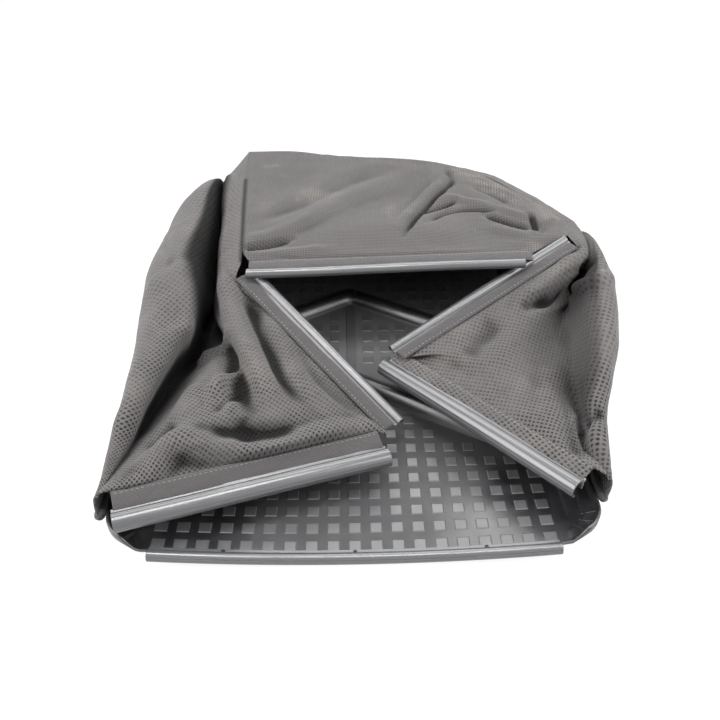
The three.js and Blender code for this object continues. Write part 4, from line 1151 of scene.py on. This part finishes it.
def paintedShadeOfFolds(grid):
    # painted shade: how deep each point lies under the cloth's mean surface, from 0 to 1, and a painted shadow along
    # the hem seams and the gusset seam
    depth = np.zeros(grid.shape[:2])
    for reach, full in paintedShadeSizes["spans"]:
        mean = blurGrid(blurGrid(grid, reach), reach)
        below = ((mean - grid) * gridNormals(mean)).sum(axis=2)
        depth = np.maximum(depth, np.clip(below / full, 0, 1))
    # painted shadow along the seams, where the edge of a hem or of the gusset would shade the cloth
    seams = [[hemEdge(place, 0), hemEdge(place, 1)] for place in clips if place != "right_lower"]
    for line in (*seams, np.array(gussetSeam)):
        gap = lineDistance(grid, line)[0]
        depth = np.maximum(depth, paintedShadeSizes["seam"] * np.clip(1 - gap / paintedShadeSizes["seamWidth"], 0, 1))
    return depth


def makePanel(name, stations, panel, finish, slot):
    grid = clothGrid(stations, panel["rows"], panel["columns"])
    normals = gridNormals(grid)
    outward = np.mean(normals[..., 2] * (grid[..., 2] > clothForm["topLevel"]))
    if name == "rear_panel":
        outward = np.mean(normals[..., 1])
    if outward < 0:
        grid = grid[::-1]
        normals = gridNormals(grid)
    uvs = clothMap(name, grid)
    rows = np.linspace(0, 1, grid.shape[0])[:, None]
    columns = np.linspace(0, 1, grid.shape[1])[None, :]
    edge = np.minimum(np.minimum(rows, 1 - rows), np.minimum(columns, 1 - columns))
    lift = foldCloth(grid, normals, panel["folds"]) + wrinkleCloth(grid) * panel["wrinkle"]
    grid = grid + normals * (lift * np.clip(edge / clothForm["calmEdge"], 0, 1))[..., None]
    half = gridNormals(grid) * clothForm["thickness"] / 2
    piece = closedSheet(f"{name}_cloth", grid + half, grid - half, uvs, finish, slot, name)
    # painted shade in the folds, along the seams and along the crease, kept on the points for the cloth's material
    depths = paintedShadeOfFolds(grid)
    if "depths" in panel:
        crease = paintedCreaseShade(panel, rows, columns)
        depths = np.maximum(depths, crease[::-1] if outward < 0 else crease)
    marks = np.clip(foldCloth(grid, normals, panel.get("dust", [])), 0, 1)
    for attribute, values in (("dustMarks", marks), ("paintedFoldShade", depths)):
        layer = piece.data.attributes.new(attribute, "FLOAT", "POINT")
        layer.data.foreach_set("value", np.tile(values.ravel(), 2))
    return piece


panels = {
    "left_side_panel": (sideStations(leftPanel), leftPanel, "mesh", "side_mesh"),
    "right_side_panel": (sideStations(rightPanel), rightPanel, "mesh", "side_mesh"),
    "top_panel": (topStations(), topPanel, "top", "top_weave"),
    "rear_panel": (rearStations(), rearPanel, "mesh", "side_mesh"),
}
for panelName, panelValues in panels.items():
    cloth = makePanel(panelName, *panelValues)
    area = sum(face.area for face in cloth.data.polygons) / 2
    print(panelName, "made with", len(cloth.data.polygons), "faces,", round(area, 4), "square metres")

# Hems: the folded cloth that each clip is sewn to, and the roll round the tray's rim

hemShape = {
    "thickness": 2.2, "end": 2, "crown": 0.5, "rows": 120, "columns": 17,
    "onFlange": 0.3, "gap": 0.3, "overlap": 1.2, "round": 5, "sink": 0.05,
    "ripple": (0.35, 9.0), "unevenRipple": (0.5, 0.05),
    "tail": 20, "tailBend": (0, 14, -12),  # the top hem runs on behind the clip at its right end
}
stitching = {"at": 0.84, "length": 2.6, "pitch": 4.2, "width": 0.6, "endRows": 2}


def makeHem(place, clip):
    start, along, across, up, length = clipAxes(clip)
    flange = clipForms[clip["form"]]["radius"] + clipFlange["width"]
    inside = flange - clipFlange["width"] + clipFlange["width"] * hemShape["onFlange"]
    outside = flange + hemShape["gap"] + clip["hem"] + hemShape["overlap"]
    half, last = hemShape["thickness"] / 2, length - hemShape["end"]
    stops = np.linspace(hemShape["end"], last + (hemShape["tail"] if place == "top" else 0), hemShape["rows"])
    widths = np.linspace(0, 1, hemShape["columns"])
    ripple, uneven = hemShape["ripple"], hemShape["unevenRipple"]
    outer, inner = [], []
    for stop in stops:
        wave = ripple[0] * math.sin(stop / ripple[1])
        wave += uneven[0] * noise.noise(Vector((stop * uneven[1], len(place), 0)))
        past = max(stop - last, 0) / hemShape["tail"]
        for width in widths:
            arch, body = math.sin(math.pi * width), half * (1 - abs(2 * width - 1) ** hemShape["round"])
            reach = inside + (outside - inside) * width
            middle = start + along * stop + across * reach + up * wave * arch
            middle = middle + np.array(hemShape["tailBend"]) * past * past
            outer.append(middle + up * (body + hemShape["crown"] * arch))
            inner.append(middle - up * (body + hemShape["sink"]))
    layers = (np.array(layer).reshape(len(stops), len(widths), 3) for layer in (outer, inner))
    uvs = np.stack(np.meshgrid(stops, widths * (outside - inside), indexing="ij"), axis=-1) * mm
    finish = "mesh" if place == "right_lower" else "hem"
    return closedSheet(f"{place}_hem_cloth", *layers, uvs, finish, "hem_tape", f"{place}_hem", True)


def makeRimRoll():
    lengths = lengthsAlong(rimPath)
    stops = np.linspace(0, lengths[-1], int(lengths[-1] / rimRoll["step"]))
    line = np.stack([np.interp(stops, lengths, rimPath[:, axis]) for axis in range(3)], axis=1)
    sides, radius, uneven, ripple = (rimRoll[key] for key in ("sides", "radius", "uneven", "ripple"))
    rings, uvs = [], []
    for number, (centre, way) in enumerate(zip(line, np.gradient(line, axis=0))):
        out = np.array([way[1], -way[0], 0]) / np.hypot(way[0], way[1])
        near = min(number, len(line) - 1 - number) / rimRoll["closing"]
        close = math.sqrt(min(1, near * (2 - near))) if near < 1 else 1
        for angle in 2 * math.pi * np.arange(sides) / sides:
            point = centre + out * math.cos(angle) + np.array([0, 0, math.sin(angle)])
            size = 1 + uneven[0] * noise.noise(Vector(point) * uneven[1])
            size += ripple[0] * math.sin(stops[number] / ripple[1])
            size *= radius * max(close, rimRoll["least"])
            rings.append(centre + out * size * math.cos(angle) + np.array([0, 0, size * math.sin(angle)]))
            uvs.append((stops[number] * mm, radius * angle * mm))
    faces = ringFaces(len(line), sides) + ringCaps(len(line), sides)
    newPiece("rim_roll_cloth", np.array(rings), faces, "hem", ["rim_roll"], True, "cloth", uvs)


def stitchTree():
    # one stitch every pitch along the line that the tree is given
    lengths = {"Pitch": stitching["pitch"], "Length": stitching["length"], "Width": stitching["width"]}
    tree, values, given = newTree("stitches", lengths, {}, "thread", True)
    curve = addNode(tree, "GeometryNodeMeshToCurve", {"Mesh": given["Geometry"]}).outputs[0]
    inputs = {"Curve": curve, "Length": given["Pitch"]}
    spots = addNode(tree, "GeometryNodeCurveToPoints", inputs, mode="LENGTH").outputs
    thread = addNode(tree, "GeometryNodeMeshIcoSphere", {"Radius": 0.5, "Subdivisions": 2}).outputs["Mesh"]
    inputs = {"X": given["Width"], "Y": given["Width"], "Z": given["Length"]}
    size = addNode(tree, "ShaderNodeCombineXYZ", inputs).outputs[0]
    inputs = {"Points": spots["Points"], "Instance": thread, "Rotation": spots["Rotation"], "Scale": size}
    endTree(tree, placeCopies(tree, inputs), given["Material"])
    return tree, values


def makeStitches(place, hem, tree, values):
    # the row lies on the hem's upper face, so it follows every ripple of it
    rows, columns, ends = hemShape["rows"], hemShape["columns"], stitching["endRows"]
    grid = np.array([vertex.co for vertex in hem.data.vertices])[:rows * columns].reshape(rows, columns, 3)
    line = grid[ends:-ends, round((columns - 1) * stitching["at"])]
    mesh = bpy.data.meshes.new(f"{place}_stitches")
    mesh.from_pydata(line.tolist(), [(number, number + 1) for number in range(len(line) - 1)], [])
    treePiece(f"{place}_stitches", tree, values, mesh=mesh)


stitches, stitchValues = stitchTree()
for place, clip in clips.items():
    makeStitches(place, makeHem(place, clip), stitches, stitchValues)
makeRimRoll()
print("hems made")

# Floor, backdrop and light

stage = {"reach": 4.0, "colour": (0.8, 0.8, 0.8, 1), "rough": 0.9, "glow": 1.15, "glowShare": 0.78}
worldLight = {"plain": 0.1, "seen": 0.95}
white = (1, 1, 1, 1)


def seenRays(tree):
    ray = addNode(tree, "ShaderNodeLightPath").outputs
    seen = mathNode(tree, "MAXIMUM", ray["Is Camera Ray"], ray["Is Glossy Ray"])
    return mathNode(tree, "MAXIMUM", seen, ray["Is Transmission Ray"])


def makeStage():
    mesh = bpy.data.meshes.new("paleFloor")
    corners = [(x * stage["reach"], y * stage["reach"], 0) for x, y in ((-1, -1), (1, -1), (1, 1), (-1, 1))]
    mesh.from_pydata(corners, [], [(0, 1, 2, 3)])
    floor = linkObject("paleFloor", mesh)
    material, tree, shader = newMaterial("paleFloor")
    setInputs(tree, shader, {"Base Color": stage["colour"], "Roughness": stage["rough"]})
    glow = addNode(tree, "ShaderNodeEmission", {"Color": white, "Strength": stage["glow"]}).outputs[0]
    share = mathNode(tree, "MULTIPLY", seenRays(tree), stage["glowShare"])
    mixed = addNode(tree, "ShaderNodeMixShader", {0: share, 1: shader.outputs[0], 2: glow}).outputs[0]
    setInputs(tree, tree.nodes["Material Output"], {"Surface": mixed})
    mesh.materials.append(material)


def makeWorld():
    world = bpy.data.worlds.new("studio")
    bpy.context.scene.world = world
    world.use_nodes = True
    tree = world.node_tree
    seen = mathNode(tree, "MULTIPLY", seenRays(tree), worldLight["seen"])
    strength = mathNode(tree, "ADD", worldLight["plain"], seen)
    setInputs(tree, tree.nodes["Background"], {"Strength": strength, "Color": white})


# each lamp: its place, what it is aimed at, its size in metres and its watts
lamps = {
    "back": ((0.1, 1.15, 1.25), (0, 0, 0), (1.9, 1.1), 26),  # a bright backdrop that only the gloss shows
    "overhead": ((0, -0.1, 1.7), (0, 0, 0), (0.7, 0.5), 15),
    "left": ((-1.3, -0.5, 1.1), (0, 0, 0.05), (1.2, 1.4), 30),
    "right": ((1.3, -0.5, 1.1), (0, 0, 0.05), (1.2, 1.4), 26),
}


def makeLamps():
    for name, (place, aim, size, watts) in lamps.items():
        data = bpy.data.lights.new(name, "AREA")
        data.shape, data.energy = "RECTANGLE", watts
        data.size, data.size_y = size
        light = linkObject(name, data)
        light.location = place
        light.visible_diffuse = name != "back"
        light.rotation_euler = (Vector(aim) - Vector(place)).to_track_quat("-Z", "Y").to_euler()


makeStage()
makeWorld()
makeLamps()
bpy.context.scene.view_settings.view_transform = "Standard"
print("stage and light made")

for panelName, (_, panel, _, _) in panels.items():
    cloth = bpy.data.objects[f"{panelName}_cloth"]
